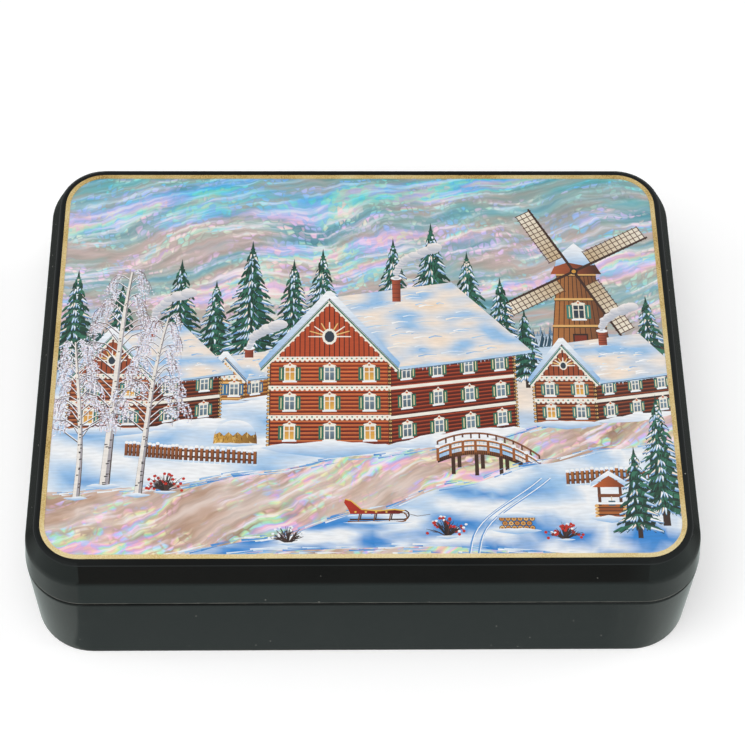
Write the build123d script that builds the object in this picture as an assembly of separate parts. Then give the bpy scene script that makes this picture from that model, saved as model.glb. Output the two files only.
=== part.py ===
# A hinged papier-mache box: a base of wall, floor and inner neck, and a lid of ring and board.
# The board holds shell veneer, a painted film and a gold line, and a brass barrel hinge joins
# the two at the back. Millimetres, with +Z up, the front at -Y and the origin under the middle.
import math
import os

from build123d import *

# The whole box
width = 200.0
depth = 150.0
height = 50.0
seam_height = 32.5
corner_radius = 18.0

# Base
wall_thickness = 5.5
floor_thickness = 4.0
bottom_edge_radius = 0.3
base_mouth_radius = 1.1
neck_thickness = 1.5
neck_rise = 3.5
neck_edge_radius = 0.5
neck_clearance = 0.35

# Lid
board_thickness = 5.0
bevel_drop = 6.5
bevel_foot_inset = 1.25
bevel_top_inset = 4.4
bevel_foot_radius = 6.0
top_edge_radius = 1.2
lid_foot_radius = 0.3
lid_mouth_chamfer = 0.3
shadow_gap = 0.5
shadow_depth = 2.0

# Picture
gold_inset = 6.2
gold_width = 1.4
film_thickness = 0.15
veneer_thickness = 0.5
veneer_columns = 4
veneer_rows = 5
veneer_gap = 0.03

# Hinge
hinge_length = 110.0
hinge_inset = 2.0
barrel_radius = 1.8
barrel_clearance = 0.3
pin_radius = 0.7
pin_clearance = 0.05
knuckle_count = 5
knuckle_gap = 0.3
leaf_thickness = 0.7
leaf_cover = 3.5
slot_clearance = 0.05
open_angle = 100.0
stop_clearance_angle = 1.0
brad_count = 4
brad_spacing = 27.0
brad_radius = 0.6
brad_head_radius = 1.1
brad_head_thickness = 0.5
brad_length = 4.0
brad_clearance = 0.03

hinge_y = depth / 2 - hinge_inset
board_bottom = height - board_thickness
picture_bottom = height - film_thickness - veneer_thickness
lid_wall_inset = wall_thickness - neck_clearance

# Both leaves stop short of the lid's board, and the brads sit halfway between barrel and leaf end
leaf_height = board_bottom - seam_height - leaf_cover
barrel_bed_radius = barrel_radius + barrel_clearance
brad_drop = (barrel_bed_radius + leaf_height) / 2


# The box's outline in plan, moved inwards all round
def outline(inset):
    return RectangleRounded(width - 2 * inset, depth - 2 * inset, corner_radius - inset)


def slab(inset, bottom, top):
    return Pos(0, 0, bottom) * extrude(outline(inset), top - bottom)


# A slab whose sides lean from one inset at the bottom to another at the top
def tapered(low_inset, bottom, high_inset, top):
    return loft([Pos(0, 0, bottom) * outline(low_inset), Pos(0, 0, top) * outline(high_inset)], ruled=True)


def edges_at(shape, level):
    return shape.edges().filter_by_position(Axis.Z, level - 0.001, level + 0.001)


# A bar along the hinge's axis, with y and z counted from that axis
def hinge_block(length, y_from, y_to, z_from, z_to):
    box = Box(length, y_to - y_from, z_to - z_from)
    return Pos(0, hinge_y + (y_from + y_to) / 2, seam_height + (z_from + z_to) / 2) * box


def hinge_rod(radius, x_from, x_to):
    rod = Rot(0, 90, 0) * Cylinder(radius, x_to - x_from)
    return Pos((x_from + x_to) / 2, hinge_y, seam_height) * rod


# The groove along the back, with its apex on the hinge's axis, where the lid's edge folds down
def fold_groove():
    half_angle = math.radians((open_angle + stop_clearance_angle) / 2)
    reach = 2 * hinge_inset
    rise = reach * math.tan(half_angle)
    with BuildSketch(Plane.YZ) as wedge:
        with BuildLine():
            Polyline((0, 0), (reach, rise), (reach, -rise), close=True)
        make_face()
    groove = extrude(wedge.sketch, width / 2, both=True)
    return Pos(0, hinge_y, seam_height) * groove


# A row of brads, from the wall's inside face at inside_y outwards, with their heads sunk in the wall
def brads(side, inside_y, clearance):
    from_head = (Align.CENTER, Align.CENTER, Align.MIN)
    shank = Cylinder(brad_radius + clearance, brad_length + clearance, align=from_head)
    head = Cylinder(brad_head_radius + clearance, brad_head_thickness, align=from_head)
    brad = Rot(-90, 0, 0) * (shank + head)
    first = -brad_spacing * (brad_count - 1) / 2
    level = seam_height + side * brad_drop
    return [Pos(first + i * brad_spacing, inside_y, level) * brad for i in range(brad_count)]


# A leaf with every second knuckle. side is 1 for the lid's leaf and -1 for the base's.
def leaf(side, first_knuckle, inside_y):
    pitch = hinge_length / knuckle_count
    plate_from = -barrel_radius
    plate_to = -barrel_radius + leaf_thickness
    low, high = sorted((side * barrel_bed_radius, side * leaf_height))
    body = hinge_block(hinge_length, plate_from, plate_to, low, high)
    for i in range(first_knuckle, knuckle_count, 2):
        x_from = -hinge_length / 2 + i * pitch + knuckle_gap / 2
        x_to = x_from + pitch - knuckle_gap
        low, high = sorted((0, side * (barrel_bed_radius + leaf_thickness)))
        web = hinge_block(x_to - x_from, plate_from, plate_to, low, high)
        body = body + Pos((x_from + x_to) / 2, 0, 0) * web + hinge_rod(barrel_radius, x_from, x_to)
    body = body - hinge_rod(pin_radius + pin_clearance, -hinge_length, hinge_length)
    for hole in brads(side, inside_y, brad_clearance):
        body = body - hole
    return body


# What a wall loses for the hinge: the fold, the barrel's bed, the leaf's slot and the brads' holes
def hinge_seat(side, inside_y):
    length = hinge_length + 2 * barrel_clearance
    bed = hinge_rod(barrel_bed_radius, -length / 2, length / 2)
    low, high = sorted((0, side * (leaf_height + slot_clearance)))
    slot_from = -barrel_radius - slot_clearance
    slot_to = -barrel_radius + leaf_thickness + slot_clearance
    slot = hinge_block(length, slot_from, slot_to, low, high)
    return [fold_groove(), bed, slot, *brads(side, inside_y, brad_clearance)]


def cut(shape, tools):
    for tool in tools:
        shape = shape - tool
    return shape


base_inside_y = depth / 2 - wall_thickness
lid_inside_y = depth / 2 - lid_wall_inset

# Base: the outer wall, with its lower and upper outer edges rounded
base_block = slab(0, 0, seam_height)
base_block = fillet(edges_at(base_block, 0), bottom_edge_radius)
base_block = fillet(edges_at(base_block, seam_height), base_mouth_radius)
base_wall = base_block - slab(wall_thickness, 0, seam_height)
base_wall = cut(base_wall, hinge_seat(-1, base_inside_y))

base_floor = slab(wall_thickness, 0, floor_thickness)

# The neck stands on the floor, inside the wall, and rises into the lid
neck_top = seam_height + neck_rise
base_neck = slab(wall_thickness, floor_thickness, neck_top)
base_neck = base_neck - slab(wall_thickness + neck_thickness, floor_thickness, neck_top)
base_neck = fillet(edges_at(base_neck, neck_top), neck_edge_radius)

# Lid: one block with a flared wall and a bevel, parted into the ring and the board. Its outer edge stands
# clear of the base, which leaves the dark line of the seam, and a narrower foot rests on the base.
bevel_foot = height - bevel_drop
lid_edge = seam_height + shadow_gap
flare = tapered(0, lid_edge, bevel_foot_inset, bevel_foot)
bevel = tapered(bevel_foot_inset, bevel_foot, bevel_top_inset, height)
lid_block = flare + bevel
lid_block = fillet(edges_at(lid_block, bevel_foot), bevel_foot_radius)
lid_block = fillet(edges_at(lid_block, height), top_edge_radius)
lid_block = fillet(edges_at(lid_block, lid_edge), lid_foot_radius)

lid_rim = (lid_block & slab(0, lid_edge, board_bottom)) + slab(shadow_depth, seam_height, lid_edge)
lid_rim = lid_rim - slab(lid_wall_inset, seam_height, board_bottom)
mouth_inset = lid_wall_inset - lid_mouth_chamfer
lid_rim = lid_rim - tapered(mouth_inset, seam_height, lid_wall_inset, seam_height + lid_mouth_chamfer)
lid_rim = cut(lid_rim, hinge_seat(1, lid_inside_y))

lid_panel = lid_block & slab(0, board_bottom, height)
lid_panel = lid_panel - slab(gold_inset, picture_bottom, height)

# Shell veneer: a grid of sheets that fills the pocket, with hairline gaps between them
veneer = slab(gold_inset, picture_bottom, picture_bottom + veneer_thickness)
sheet_x = (width - 2 * gold_inset) / veneer_columns
sheet_y = (depth - 2 * gold_inset) / veneer_rows
sheets = []
for row in range(veneer_rows):
    for column in range(veneer_columns):
        x = (column - (veneer_columns - 1) / 2) * sheet_x
        y = (row - (veneer_rows - 1) / 2) * sheet_y
        cell = Box(sheet_x - veneer_gap, sheet_y - veneer_gap, 2 * veneer_thickness)
        sheets.append((veneer & Pos(x, y, picture_bottom) * cell).solid())

film_bottom = height - film_thickness
gold_line = slab(gold_inset, film_bottom, height) - slab(gold_inset + gold_width, film_bottom, height)
picture_film = slab(gold_inset + gold_width, film_bottom, height)

# Hinge: the base has the outer and middle knuckles and the pin, and the lid the two between
base_leaf = leaf(-1, 0, base_inside_y)
lid_leaf = leaf(1, 1, lid_inside_y)
hinge_pin = hinge_rod(pin_radius, -hinge_length / 2, hinge_length / 2)

pieces = {
    "base_wall": base_wall,
    "base_floor": base_floor,
    "base_neck": base_neck,
    "base_hinge_leaf": base_leaf,
    "base_hinge_brads": Compound(children=[b.solid() for b in brads(-1, base_inside_y, 0)]),
    "hinge_pin": hinge_pin,
    "lid_rim": lid_rim,
    "lid_panel": lid_panel,
    "shell_veneer": Compound(children=sheets),
    "picture_film": picture_film,
    "gold_line": gold_line,
    "lid_hinge_leaf": lid_leaf,
    "lid_hinge_brads": Compound(children=[b.solid() for b in brads(1, lid_inside_y, 0)]),
}
os.makedirs("parts", exist_ok=True)
for node, shape in pieces.items():
    export_step(shape, f"parts/{node}.step")
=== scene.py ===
# A black lacquer box of papier-mache with a winter village painted over mother-of-pearl on its lid.
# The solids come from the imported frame; this file gives them their finishes, paints the picture and
# sets up the studio. Sizes on the box and in patterns are in millimetres, and MM turns them into metres.
# The studio's own places and sizes are in metres.
import math
import random

import bpy
import numpy
from mathutils import Matrix, Vector, noise
from mathutils.bvhtree import BVHTree
from mathutils.geometry import delaunay_2d_cdt


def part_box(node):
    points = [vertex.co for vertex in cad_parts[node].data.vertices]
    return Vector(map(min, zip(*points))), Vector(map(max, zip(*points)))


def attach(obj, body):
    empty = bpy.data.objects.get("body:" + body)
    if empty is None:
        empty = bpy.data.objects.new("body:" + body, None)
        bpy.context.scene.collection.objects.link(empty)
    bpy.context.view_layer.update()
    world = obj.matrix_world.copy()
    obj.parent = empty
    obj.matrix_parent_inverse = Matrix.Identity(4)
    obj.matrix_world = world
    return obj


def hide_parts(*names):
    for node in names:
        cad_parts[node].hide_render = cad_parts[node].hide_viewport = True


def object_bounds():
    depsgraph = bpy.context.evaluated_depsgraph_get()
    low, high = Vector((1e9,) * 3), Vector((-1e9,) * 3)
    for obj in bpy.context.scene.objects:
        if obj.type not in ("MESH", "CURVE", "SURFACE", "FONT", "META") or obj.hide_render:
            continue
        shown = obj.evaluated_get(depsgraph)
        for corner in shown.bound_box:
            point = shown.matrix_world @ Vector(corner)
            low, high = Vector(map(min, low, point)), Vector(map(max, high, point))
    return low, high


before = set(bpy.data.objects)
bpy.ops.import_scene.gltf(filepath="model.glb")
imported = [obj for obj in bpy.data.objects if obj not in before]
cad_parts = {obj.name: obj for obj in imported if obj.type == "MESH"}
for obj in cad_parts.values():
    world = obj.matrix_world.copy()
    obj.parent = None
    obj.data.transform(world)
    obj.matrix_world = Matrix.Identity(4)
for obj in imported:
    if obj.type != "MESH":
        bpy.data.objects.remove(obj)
cad_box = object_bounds()
MM = 0.001


# Walls and boards: pressed paper soaked in oil and coated with many layers of lacquer, which are ground
# flat and polished by hand. The coats are black outside and red inside. All five nodes keep their shape.
# A colour is written as an sRGB hex value, and this turns it into the linear one that a shader takes.
def linear(hex_colour):
    parts = [int(hex_colour[i : i + 2], 16) / 255 for i in (1, 3, 5)]
    return [c / 12.92 if c <= 0.04045 else ((c + 0.055) / 1.055) ** 2.4 for c in parts] + [1.0]


# Adds a node with its settings. Inputs are values or the sockets that feed them, stops a ramp's colours.
def add(tree, kind, inputs=None, stops=(), **settings):
    made = tree.nodes.new("ShaderNode" + kind)
    for name, value in settings.items():
        setattr(made, name, value)
    for name, value in (inputs or {}).items():
        if isinstance(value, bpy.types.NodeSocket):
            tree.links.new(value, made.inputs[name])
        else:
            made.inputs[name].default_value = value
    for i, (place, colour) in enumerate(stops):
        marks = made.color_ramp.elements
        mark = marks[i] if i < 2 else marks.new(place)
        mark.position = place
        mark.color = linear(colour)
    return made


def new_material(name):
    material = bpy.data.materials.new(name)
    material.use_nodes = True
    tree = material.node_tree
    tree.nodes.clear()
    return material, tree


# The place on a piece, in millimetres
def place_in_mm(tree):
    place = add(tree, "TexCoord").outputs["Object"]
    return add(tree, "VectorMath", {0: place, "Scale": 1 / MM}, operation="SCALE").outputs[0]


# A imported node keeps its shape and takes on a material
def give_material(node_name, material):
    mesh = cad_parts[node_name].data
    mesh.materials.clear()
    mesh.materials.append(material)


# Two sets of scratches, each with its slant in degrees and its length, a third of a millimetre across
SCRATCHES = ((7, 26), (-48, 14))
SCRATCHES_PER_MM = 3.0
# Clouds in the coat, waves and swirls from polishing, a cell with one dust speck, and the speck
CLOUD, WAVE = 18, 14
SWIRL_LENGTH, SWIRL_WIDTH = 25, 0.625
SPECK_CELL, SPECK_RADIUS = 4, 0.2
WAVE_HEIGHT = 0.1
# An edge is paler within this height, in patches of some millimetres: wear, and on the outer edges partly a
# painted highlight. Painted shade fills a band under the lid's edge.
PALE_EDGE_FULL, PALE_EDGE_END, PALE_EDGE_PATCH = 0.35, 0.75, 5
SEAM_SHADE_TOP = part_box("base_wall")[1][2] / MM
SEAM_SHADE_BOTTOM, SEAM_SHADE_FULL = SEAM_SHADE_TOP - 0.6, SEAM_SHADE_TOP - 0.25


# Polished oil lacquer: deep black or red that mirrors the room softly, a little uneven from hand polishing,
# with dust specks. red_place is where the red coat shows, or None for all over. An outer wall has fine
# scratches. The last argument gives the level of an edge that is painted paler, as worn lacquer and on the
# outer edges partly as a painted highlight, and how far in from the outline.
def lacquer(name, red_place, outer_wall, rubbed_and_highlit):
    material, tree = new_material(name)
    mm = place_in_mm(tree)
    cloud = add(tree, "TexNoise", {"Vector": mm, "Scale": 1 / CLOUD, "Detail": 3.0}).outputs[0]
    coat = add(tree, "ValToRGB", {0: cloud}, [(0.3, "#8e1a12"), (0.7, "#a52318")]).outputs[0]
    if red_place:
        black = add(tree, "ValToRGB", {0: cloud}, [(0.3, "#0a0a0a"), (0.7, "#100f0e")]).outputs[0]
        coat = add(tree, "Mix", {0: red_place(tree, mm), 6: black, 7: coat}, data_type="RGBA").outputs[2]
    for slant, length in SCRATCHES if outer_wall else ():
        turn = {0: mm, "Angle": math.radians(slant)}
        turned = add(tree, "VectorRotate", turn, rotation_type="Y_AXIS").outputs[0]
        grid = {0: turned, 1: (SCRATCHES_PER_MM, SCRATCHES_PER_MM, 1 / length)}
        thin = add(tree, "VectorMath", grid, operation="MULTIPLY").outputs[0]
        lines = add(tree, "TexNoise", {"Vector": thin, "Scale": 1.0, "Detail": 1.0}).outputs[0]
        mark = add(tree, "MapRange", {0: lines, 1: 0.67, 2: 0.74, 3: 0.0, 4: 0.7}).outputs[0]
        coat = add(tree, "Mix", {0: mark, 6: coat, 7: linear("#30332f")}, data_type="RGBA").outputs[2]
    high = add(tree, "SeparateXYZ", {0: mm}).outputs[2]
    # An edge painted paler: worn lacquer, and on the lid's lower edge and the base's foot partly a painted
    # highlight
    if rubbed_and_highlit:
        level, deep = rubbed_and_highlit
        away = add(tree, "Math", {0: high, 1: level}, operation="SUBTRACT").outputs[0]
        size = add(tree, "Math", {0: away}, operation="ABSOLUTE").outputs[0]
        close = add(tree, "MapRange", {0: size, 1: PALE_EDGE_FULL, 2: PALE_EDGE_END, 3: 1.0, 4: 0.0}).outputs[0]
        reach = outline_reach(tree, mm)
        outer = add(tree, "Math", {0: reach, 1: CORNER_RADIUS - deep}, operation="GREATER_THAN").outputs[0]
        broken = add(tree, "TexNoise", {"Vector": mm, "Scale": 1 / PALE_EDGE_PATCH, "Detail": 4.0}).outputs[0]
        pale_patch = add(tree, "MapRange", {0: broken, 1: 0.35, 2: 0.62, 3: 0.35, 4: 1.0}).outputs[0]
        spot = add(tree, "Math", {0: close, 1: pale_patch}, operation="MULTIPLY").outputs[0]
        wear_and_highlight = add(tree, "Math", {0: spot, 1: outer}, operation="MULTIPLY").outputs[0]
        coat = add(tree, "Mix", {0: wear_and_highlight, 6: coat, 7: linear("#6b6861")}, data_type="RGBA").outputs[2]
    # Dust specks, on the cells that draw a high number
    grit = add(tree, "TexVoronoi", {"Vector": mm, "Scale": 1 / SPECK_CELL})
    in_speck = {0: grit.outputs["Distance"], 1: SPECK_RADIUS / SPECK_CELL}
    near = add(tree, "Math", in_speck, operation="LESS_THAN").outputs[0]
    drawn = add(tree, "SeparateColor", {0: grit.outputs["Color"]}).outputs[0]
    some = add(tree, "Math", {0: drawn, 1: 0.6}, operation="GREATER_THAN").outputs[0]
    speck = add(tree, "Math", {0: near, 1: some}, operation="MULTIPLY").outputs[0]
    dusty = add(tree, "Mix", {0: speck, 6: coat, 7: linear("#8f8d86")}, data_type="RGBA").outputs[2]
    # Polishing swirls: long fine marks that blur the mirror a little
    along = {0: mm, 1: (1 / SWIRL_LENGTH, 1 / SWIRL_LENGTH, 1 / SWIRL_WIDTH)}
    long_way = add(tree, "VectorMath", along, operation="MULTIPLY").outputs[0]
    swirl = add(tree, "TexNoise", {"Vector": long_way, "Scale": 1.0, "Detail": 4.0}).outputs[0]
    dull = add(tree, "MapRange", {0: swirl, 1: 0.35, 2: 0.75, 3: 0.03, 4: 0.09}).outputs[0]
    rough = add(tree, "Math", {0: dull, 1: speck}, operation="MAXIMUM").outputs[0]
    wave = add(tree, "TexNoise", {"Vector": mm, "Scale": 1 / WAVE, "Detail": 1.0}).outputs[0]
    lumps = add(tree, "Bump", {"Height": wave, "Strength": 0.3, "Distance": WAVE_HEIGHT * MM}).outputs[0]
    shader = add(tree, "BsdfPrincipled", {"Base Color": dusty, "Roughness": rough, "Normal": lumps})
    shader.inputs["IOR"].default_value = 1.5
    shader.inputs["Specular Tint"].default_value = linear("#e4f2f2")
    if outer_wall:
        # Painted shade under the lid's edge, most of it at the left: the mirror is turned down in this band
        # so it reads dark
        deep = add(tree, "MapRange", {0: high, 1: SEAM_SHADE_BOTTOM, 2: SEAM_SHADE_FULL}).outputs[0]
        across = add(tree, "SeparateXYZ", {0: mm}).outputs[0]
        left = add(tree, "MapRange", {0: across, 1: -60.0, 2: 85.0, 3: 1.0, 4: 0.25}).outputs[0]
        seam_shade = add(tree, "Math", {0: deep, 1: left}, operation="MULTIPLY").outputs[0]
        shaded_mirror = add(tree, "MapRange", {0: seam_shade, 3: 0.5, 4: 0.0}).outputs[0]
        tree.links.new(shaded_mirror, shader.inputs["Specular IOR Level"])
    add(tree, "OutputMaterial", {"Surface": shader.outputs[0]})
    return material


FLOOR_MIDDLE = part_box("base_floor")[1][2] / MM / 2


# The floor board is black below and red above its middle
def upper_side(tree, mm):
    high = add(tree, "SeparateXYZ", {0: mm}).outputs[2]
    return add(tree, "Math", {0: high, 1: FLOOR_MIDDLE}, operation="GREATER_THAN").outputs[0]


HALF_WIDTH = cad_box[1][0] / MM
HALF_DEPTH = cad_box[1][1] / MM
CORNER_RADIUS = 18.0
# How far in from the outline the red starts: a little before the inner faces, so that all of them are red
LID_RED_DEPTH = 4.7
BASE_RED_DEPTH = 5.2


# How far a point lies from the middle lines of the box's rounded corners, which is the corner radius on
# the outline itself
def outline_reach(tree, mm):
    flat = add(tree, "VectorMath", {0: mm, 1: (1, 1, 0)}, operation="MULTIPLY").outputs[0]
    side = add(tree, "VectorMath", {0: flat}, operation="ABSOLUTE").outputs[0]
    middle = (HALF_WIDTH - CORNER_RADIUS, HALF_DEPTH - CORNER_RADIUS, 0)
    past = add(tree, "VectorMath", {0: side, 1: middle}, operation="SUBTRACT").outputs[0]
    out = add(tree, "VectorMath", {0: past, 1: (0, 0, 0)}, operation="MAXIMUM").outputs[0]
    return add(tree, "VectorMath", {0: out}, operation="LENGTH").outputs["Value"]


def deeper_than(tree, mm, depth):
    reach = outline_reach(tree, mm)
    return add(tree, "Math", {0: reach, 1: CORNER_RADIUS - depth}, operation="LESS_THAN").outputs[0]


def inside_wall(tree, mm):
    inner = deeper_than(tree, mm, BASE_RED_DEPTH)
    return add(tree, "Math", {0: inner, 1: upper_side(tree, mm)}, operation="MULTIPLY").outputs[0]


def inside_rim(tree, mm):
    return deeper_than(tree, mm, LID_RED_DEPTH)


# The board's red coat reaches a little above its underside
BOARD_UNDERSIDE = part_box("lid_panel")[0][2] / MM + 0.2


def under_board(tree, mm):
    high = add(tree, "SeparateXYZ", {0: mm}).outputs[2]
    low = add(tree, "Math", {0: high, 1: BOARD_UNDERSIDE}, operation="LESS_THAN").outputs[0]
    inner = deeper_than(tree, mm, LID_RED_DEPTH)
    return add(tree, "Math", {0: low, 1: inner}, operation="MULTIPLY").outputs[0]


# The lid's outer edge stands clear of the base. Its lower edge and the base's foot are painted paler, as
# wear and partly as a painted highlight; the neck's top has worn, where the lid slides over it.
SEAM_GAP = 0.5
WEAR_AND_HIGHLIGHT_WIDTH = 0.5
NECK_WORN_WIDTH = BASE_RED_DEPTH + 0.7
lid_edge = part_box("lid_rim")[0][2] / MM + SEAM_GAP
neck_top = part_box("base_neck")[1][2] / MM
lacquered = {
    "base_wall": (inside_wall, True, (0.0, WEAR_AND_HIGHLIGHT_WIDTH)),
    "base_floor": (upper_side, False, None),
    "base_neck": (None, False, (neck_top, NECK_WORN_WIDTH)),
    "lid_rim": (inside_rim, False, (lid_edge, WEAR_AND_HIGHLIGHT_WIDTH)),
    "lid_panel": (under_board, False, None),
}
for node_name, finish in lacquered.items():
    give_material(node_name, lacquer(f"oil_lacquer_{node_name}", *finish))


# Hinge: leaves and brads of rolled brass and a pin of drawn steel wire, let into the back wall.
# Handling and lacquer have dulled the metal, so its shine is broken by patches of tarnish and by fine
# lines along the hinge, as rolling and drawing leave them.
TARNISH = 2.5
LINE_LENGTH, LINES_PER_MM = 10, 3.0


def rubbed_metal(name, bright, dark, roughness):
    material, tree = new_material(name)
    mm = place_in_mm(tree)
    cloud = add(tree, "TexNoise", {"Vector": mm, "Scale": 1 / TARNISH, "Detail": 5.0}).outputs[0]
    tone = add(tree, "ValToRGB", {0: cloud}, [(0.35, dark), (0.65, bright)]).outputs[0]
    grid = {0: mm, 1: (1 / LINE_LENGTH, LINES_PER_MM, LINES_PER_MM)}
    drawn = add(tree, "VectorMath", grid, operation="MULTIPLY").outputs[0]
    lines = add(tree, "TexNoise", {"Vector": drawn, "Scale": 1.0, "Detail": 2.0}).outputs[0]
    shine = add(tree, "MapRange", {0: lines, 3: roughness - 0.1, 4: roughness + 0.15}).outputs[0]
    shader = add(tree, "BsdfPrincipled", {"Base Color": tone, "Roughness": shine, "Metallic": 1.0})
    add(tree, "OutputMaterial", {"Surface": shader.outputs[0]})
    return material


brass = rubbed_metal("rolled_brass", "#cfa75a", "#8f6a32", 0.38)
steel = rubbed_metal("drawn_steel_wire", "#b9bcc0", "#7d8084", 0.3)
hinge_metals = {
    "base_hinge_leaf": brass,
    "base_hinge_brads": brass,
    "lid_hinge_leaf": brass,
    "lid_hinge_brads": brass,
    "hinge_pin": steel,
}
for node_name, metal in hinge_metals.items():
    give_material(node_name, metal)


# Shell veneer: thin sheets of mother-of-pearl, ground flat and glued edge to edge in the lid's pocket.
# Their layers show as long soft bands of grey, sage and rose. Where the layers are thin, light plays in
# them from blue through lilac, rose and straw to mint, in streaks that break up into rows of small scales.
pearl, tree = new_material("mother_of_pearl")
mm = place_in_mm(tree)
flat = add(tree, "VectorMath", {0: mm, 1: (1, 1, 0)}, operation="MULTIPLY").outputs[0]
# The layers wander over some 60 mm, and ripple over some 9 mm
WANDER, RIPPLE = 60, 9
WANDER_REACH, RIPPLE_REACH = (24, 27, 0), (3, 4, 0)
MIDDLE_GREY = (0.5, 0.5, 0.5)
wander = add(tree, "TexNoise", {"Vector": flat, "Scale": 1 / WANDER, "Detail": 1.0}).outputs["Color"]
sway = add(tree, "VectorMath", {0: wander, 1: MIDDLE_GREY}, operation="SUBTRACT").outputs[0]
swing = add(tree, "VectorMath", {0: sway, 1: WANDER_REACH, 2: flat}, operation="MULTIPLY_ADD").outputs[0]
ripple = add(tree, "TexNoise", {"Vector": flat, "Scale": 1 / RIPPLE, "Detail": 2.0}).outputs["Color"]
wobble = add(tree, "VectorMath", {0: ripple, 1: MIDDLE_GREY}, operation="SUBTRACT").outputs[0]
bent = add(tree, "VectorMath", {0: wobble, 1: RIPPLE_REACH, 2: swing}, operation="MULTIPLY_ADD").outputs[0]
STREAK_SIZE = (17.0, 1.7)


# One kind of shell, with its layers at a slope. Sizes are millimetres along and across the layers.
def shell_figure(slope, band_size, band_tones, play_size, play_tones, row_size, scale_size, dim, lit):
    turn = {0: bent, "Angle": math.radians(-slope)}
    turned = add(tree, "VectorRotate", turn, rotation_type="Z_AXIS").outputs[0]

    def stretched(size, shift):
        grid = {0: turned, 1: (1 / size[0], 1 / size[1], 0), 2: (shift, shift, shift)}
        return add(tree, "VectorMath", grid, operation="MULTIPLY_ADD").outputs[0]

    band_at = {
        "Vector": stretched(band_size, 0.0), "Scale": 1.0, "Detail": 3.0, "Roughness": 0.5,
        "Distortion": 0.4,
    }
    band = add(tree, "TexNoise", band_at).outputs[0]
    ground = add(tree, "ValToRGB", {0: band}, band_tones).outputs[0]
    # Streaks along the layers, a millimetre or two across
    streak_at = {"Vector": stretched(STREAK_SIZE, 3.1), "Scale": 1.0, "Detail": 3.0, "Roughness": 0.55}
    streak = add(tree, "TexNoise", streak_at).outputs[0]
    # Scales: short facets across the layers, each a little brighter or bluer than the next
    cells = {"Vector": stretched(scale_size, 5.7), "Scale": 1.0, "Randomness": 0.7}
    drawn = add(tree, "TexVoronoi", cells).outputs["Color"]
    draw = add(tree, "SeparateColor", {0: drawn}).outputs
    edge = add(tree, "TexVoronoi", cells, feature="DISTANCE_TO_EDGE").outputs[0]
    round_off = {0: edge, 1: 0.0, 2: 0.2, 3: 0.1, 4: 1.0}
    rounded = add(tree, "MapRange", round_off, interpolation_type="SMOOTHSTEP").outputs[0]
    # The play of colour slides along with the thickness of the layers
    play_at = {
        "Vector": stretched(play_size, 9.4), "Scale": 1.0, "Detail": 2.0, "Roughness": 0.5,
        "Distortion": 0.5,
    }
    play = add(tree, "TexNoise", play_at).outputs[0]
    order = add(tree, "Math", {0: play, 1: 5.0}, operation="MULTIPLY").outputs[0]
    finer = add(tree, "Math", {0: streak, 1: 0.6, 2: order}, operation="MULTIPLY_ADD").outputs[0]
    mixed_up = add(tree, "Math", {0: draw[0], 1: 0.3, 2: finer}, operation="MULTIPLY_ADD").outputs[0]
    turn_of_hue = add(tree, "Math", {0: mixed_up}, operation="FRACT").outputs[0]
    hue = add(tree, "ValToRGB", {0: turn_of_hue}, play_tones).outputs[0]
    # Where it shows: in rows, most in the scales that lie right
    row_at = {
        "Vector": stretched(row_size, 7.3), "Scale": 1.0, "Detail": 4.0, "Roughness": 0.6, "Distortion": 0.3
    }
    row = add(tree, "TexNoise", row_at).outputs[0]
    shown = add(tree, "MapRange", {0: row, 1: dim, 2: lit}, interpolation_type="SMOOTHSTEP").outputs[0]
    lies_right = add(tree, "MapRange", {0: draw[1], 1: 0.25, 2: 0.55, 3: 0.15, 4: 1.0}).outputs[0]
    facet = add(tree, "Math", {0: lies_right, 1: rounded}, operation="MULTIPLY").outputs[0]
    broken = add(tree, "Math", {0: shown, 1: facet}, operation="MULTIPLY").outputs[0]
    # In the middle of a row the colour runs on unbroken
    whole = add(tree, "MapRange", {0: row, 1: lit - 0.02, 2: lit + 0.08, 3: 0.0, 4: 0.9}).outputs[0]
    amount = add(tree, "Math", {0: broken, 1: whole}, operation="MAXIMUM").outputs[0]
    played = add(tree, "Mix", {0: amount, 6: ground, 7: hue}, data_type="RGBA").outputs[2]
    # Painted sheen: near-white highlights on the edges of layers in the rows, and dull edges between them
    crest = add(tree, "MapRange", {0: streak, 1: 0.52, 2: 0.67, 3: 0.0, 4: 0.75}).outputs[0]
    gleam = add(tree, "Math", {0: crest, 1: shown}, operation="MULTIPLY").outputs[0]
    bright = add(tree, "Mix", {0: gleam, 6: played, 7: linear("#fdf4fb")}, data_type="RGBA").outputs[2]
    shade = add(tree, "MapRange", {0: streak, 1: 0.3, 2: 0.55, 3: 0.8, 4: 1.06}).outputs[0]
    return add(tree, "VectorMath", {0: bright, "Scale": shade}, operation="SCALE").outputs[0]


# Abalone at the back: teal and grey bands, cool colours in play
sea_bands = [
    (0.30, "#5fa0b0"), (0.39, "#8cb8c2"), (0.46, "#a9bdb9"), (0.52, "#bcb2aa"), (0.58, "#cdb9b4"),
    (0.66, "#abc6d0"),
]
sea_play = [
    (0.0, "#9ad8fb"), (0.18, "#bcc9ff"), (0.36, "#ecd0fd"), (0.5, "#ffd3ea"), (0.62, "#fdeadd"),
    (0.74, "#dcf4dc"), (0.87, "#aaf0ec"), (1.0, "#9ad8fb"),
]
abalone = shell_figure(11, (46, 9), sea_bands, (60, 12), sea_play, (44, 8), (1.9, 1.5), 0.38, 0.52)
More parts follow.
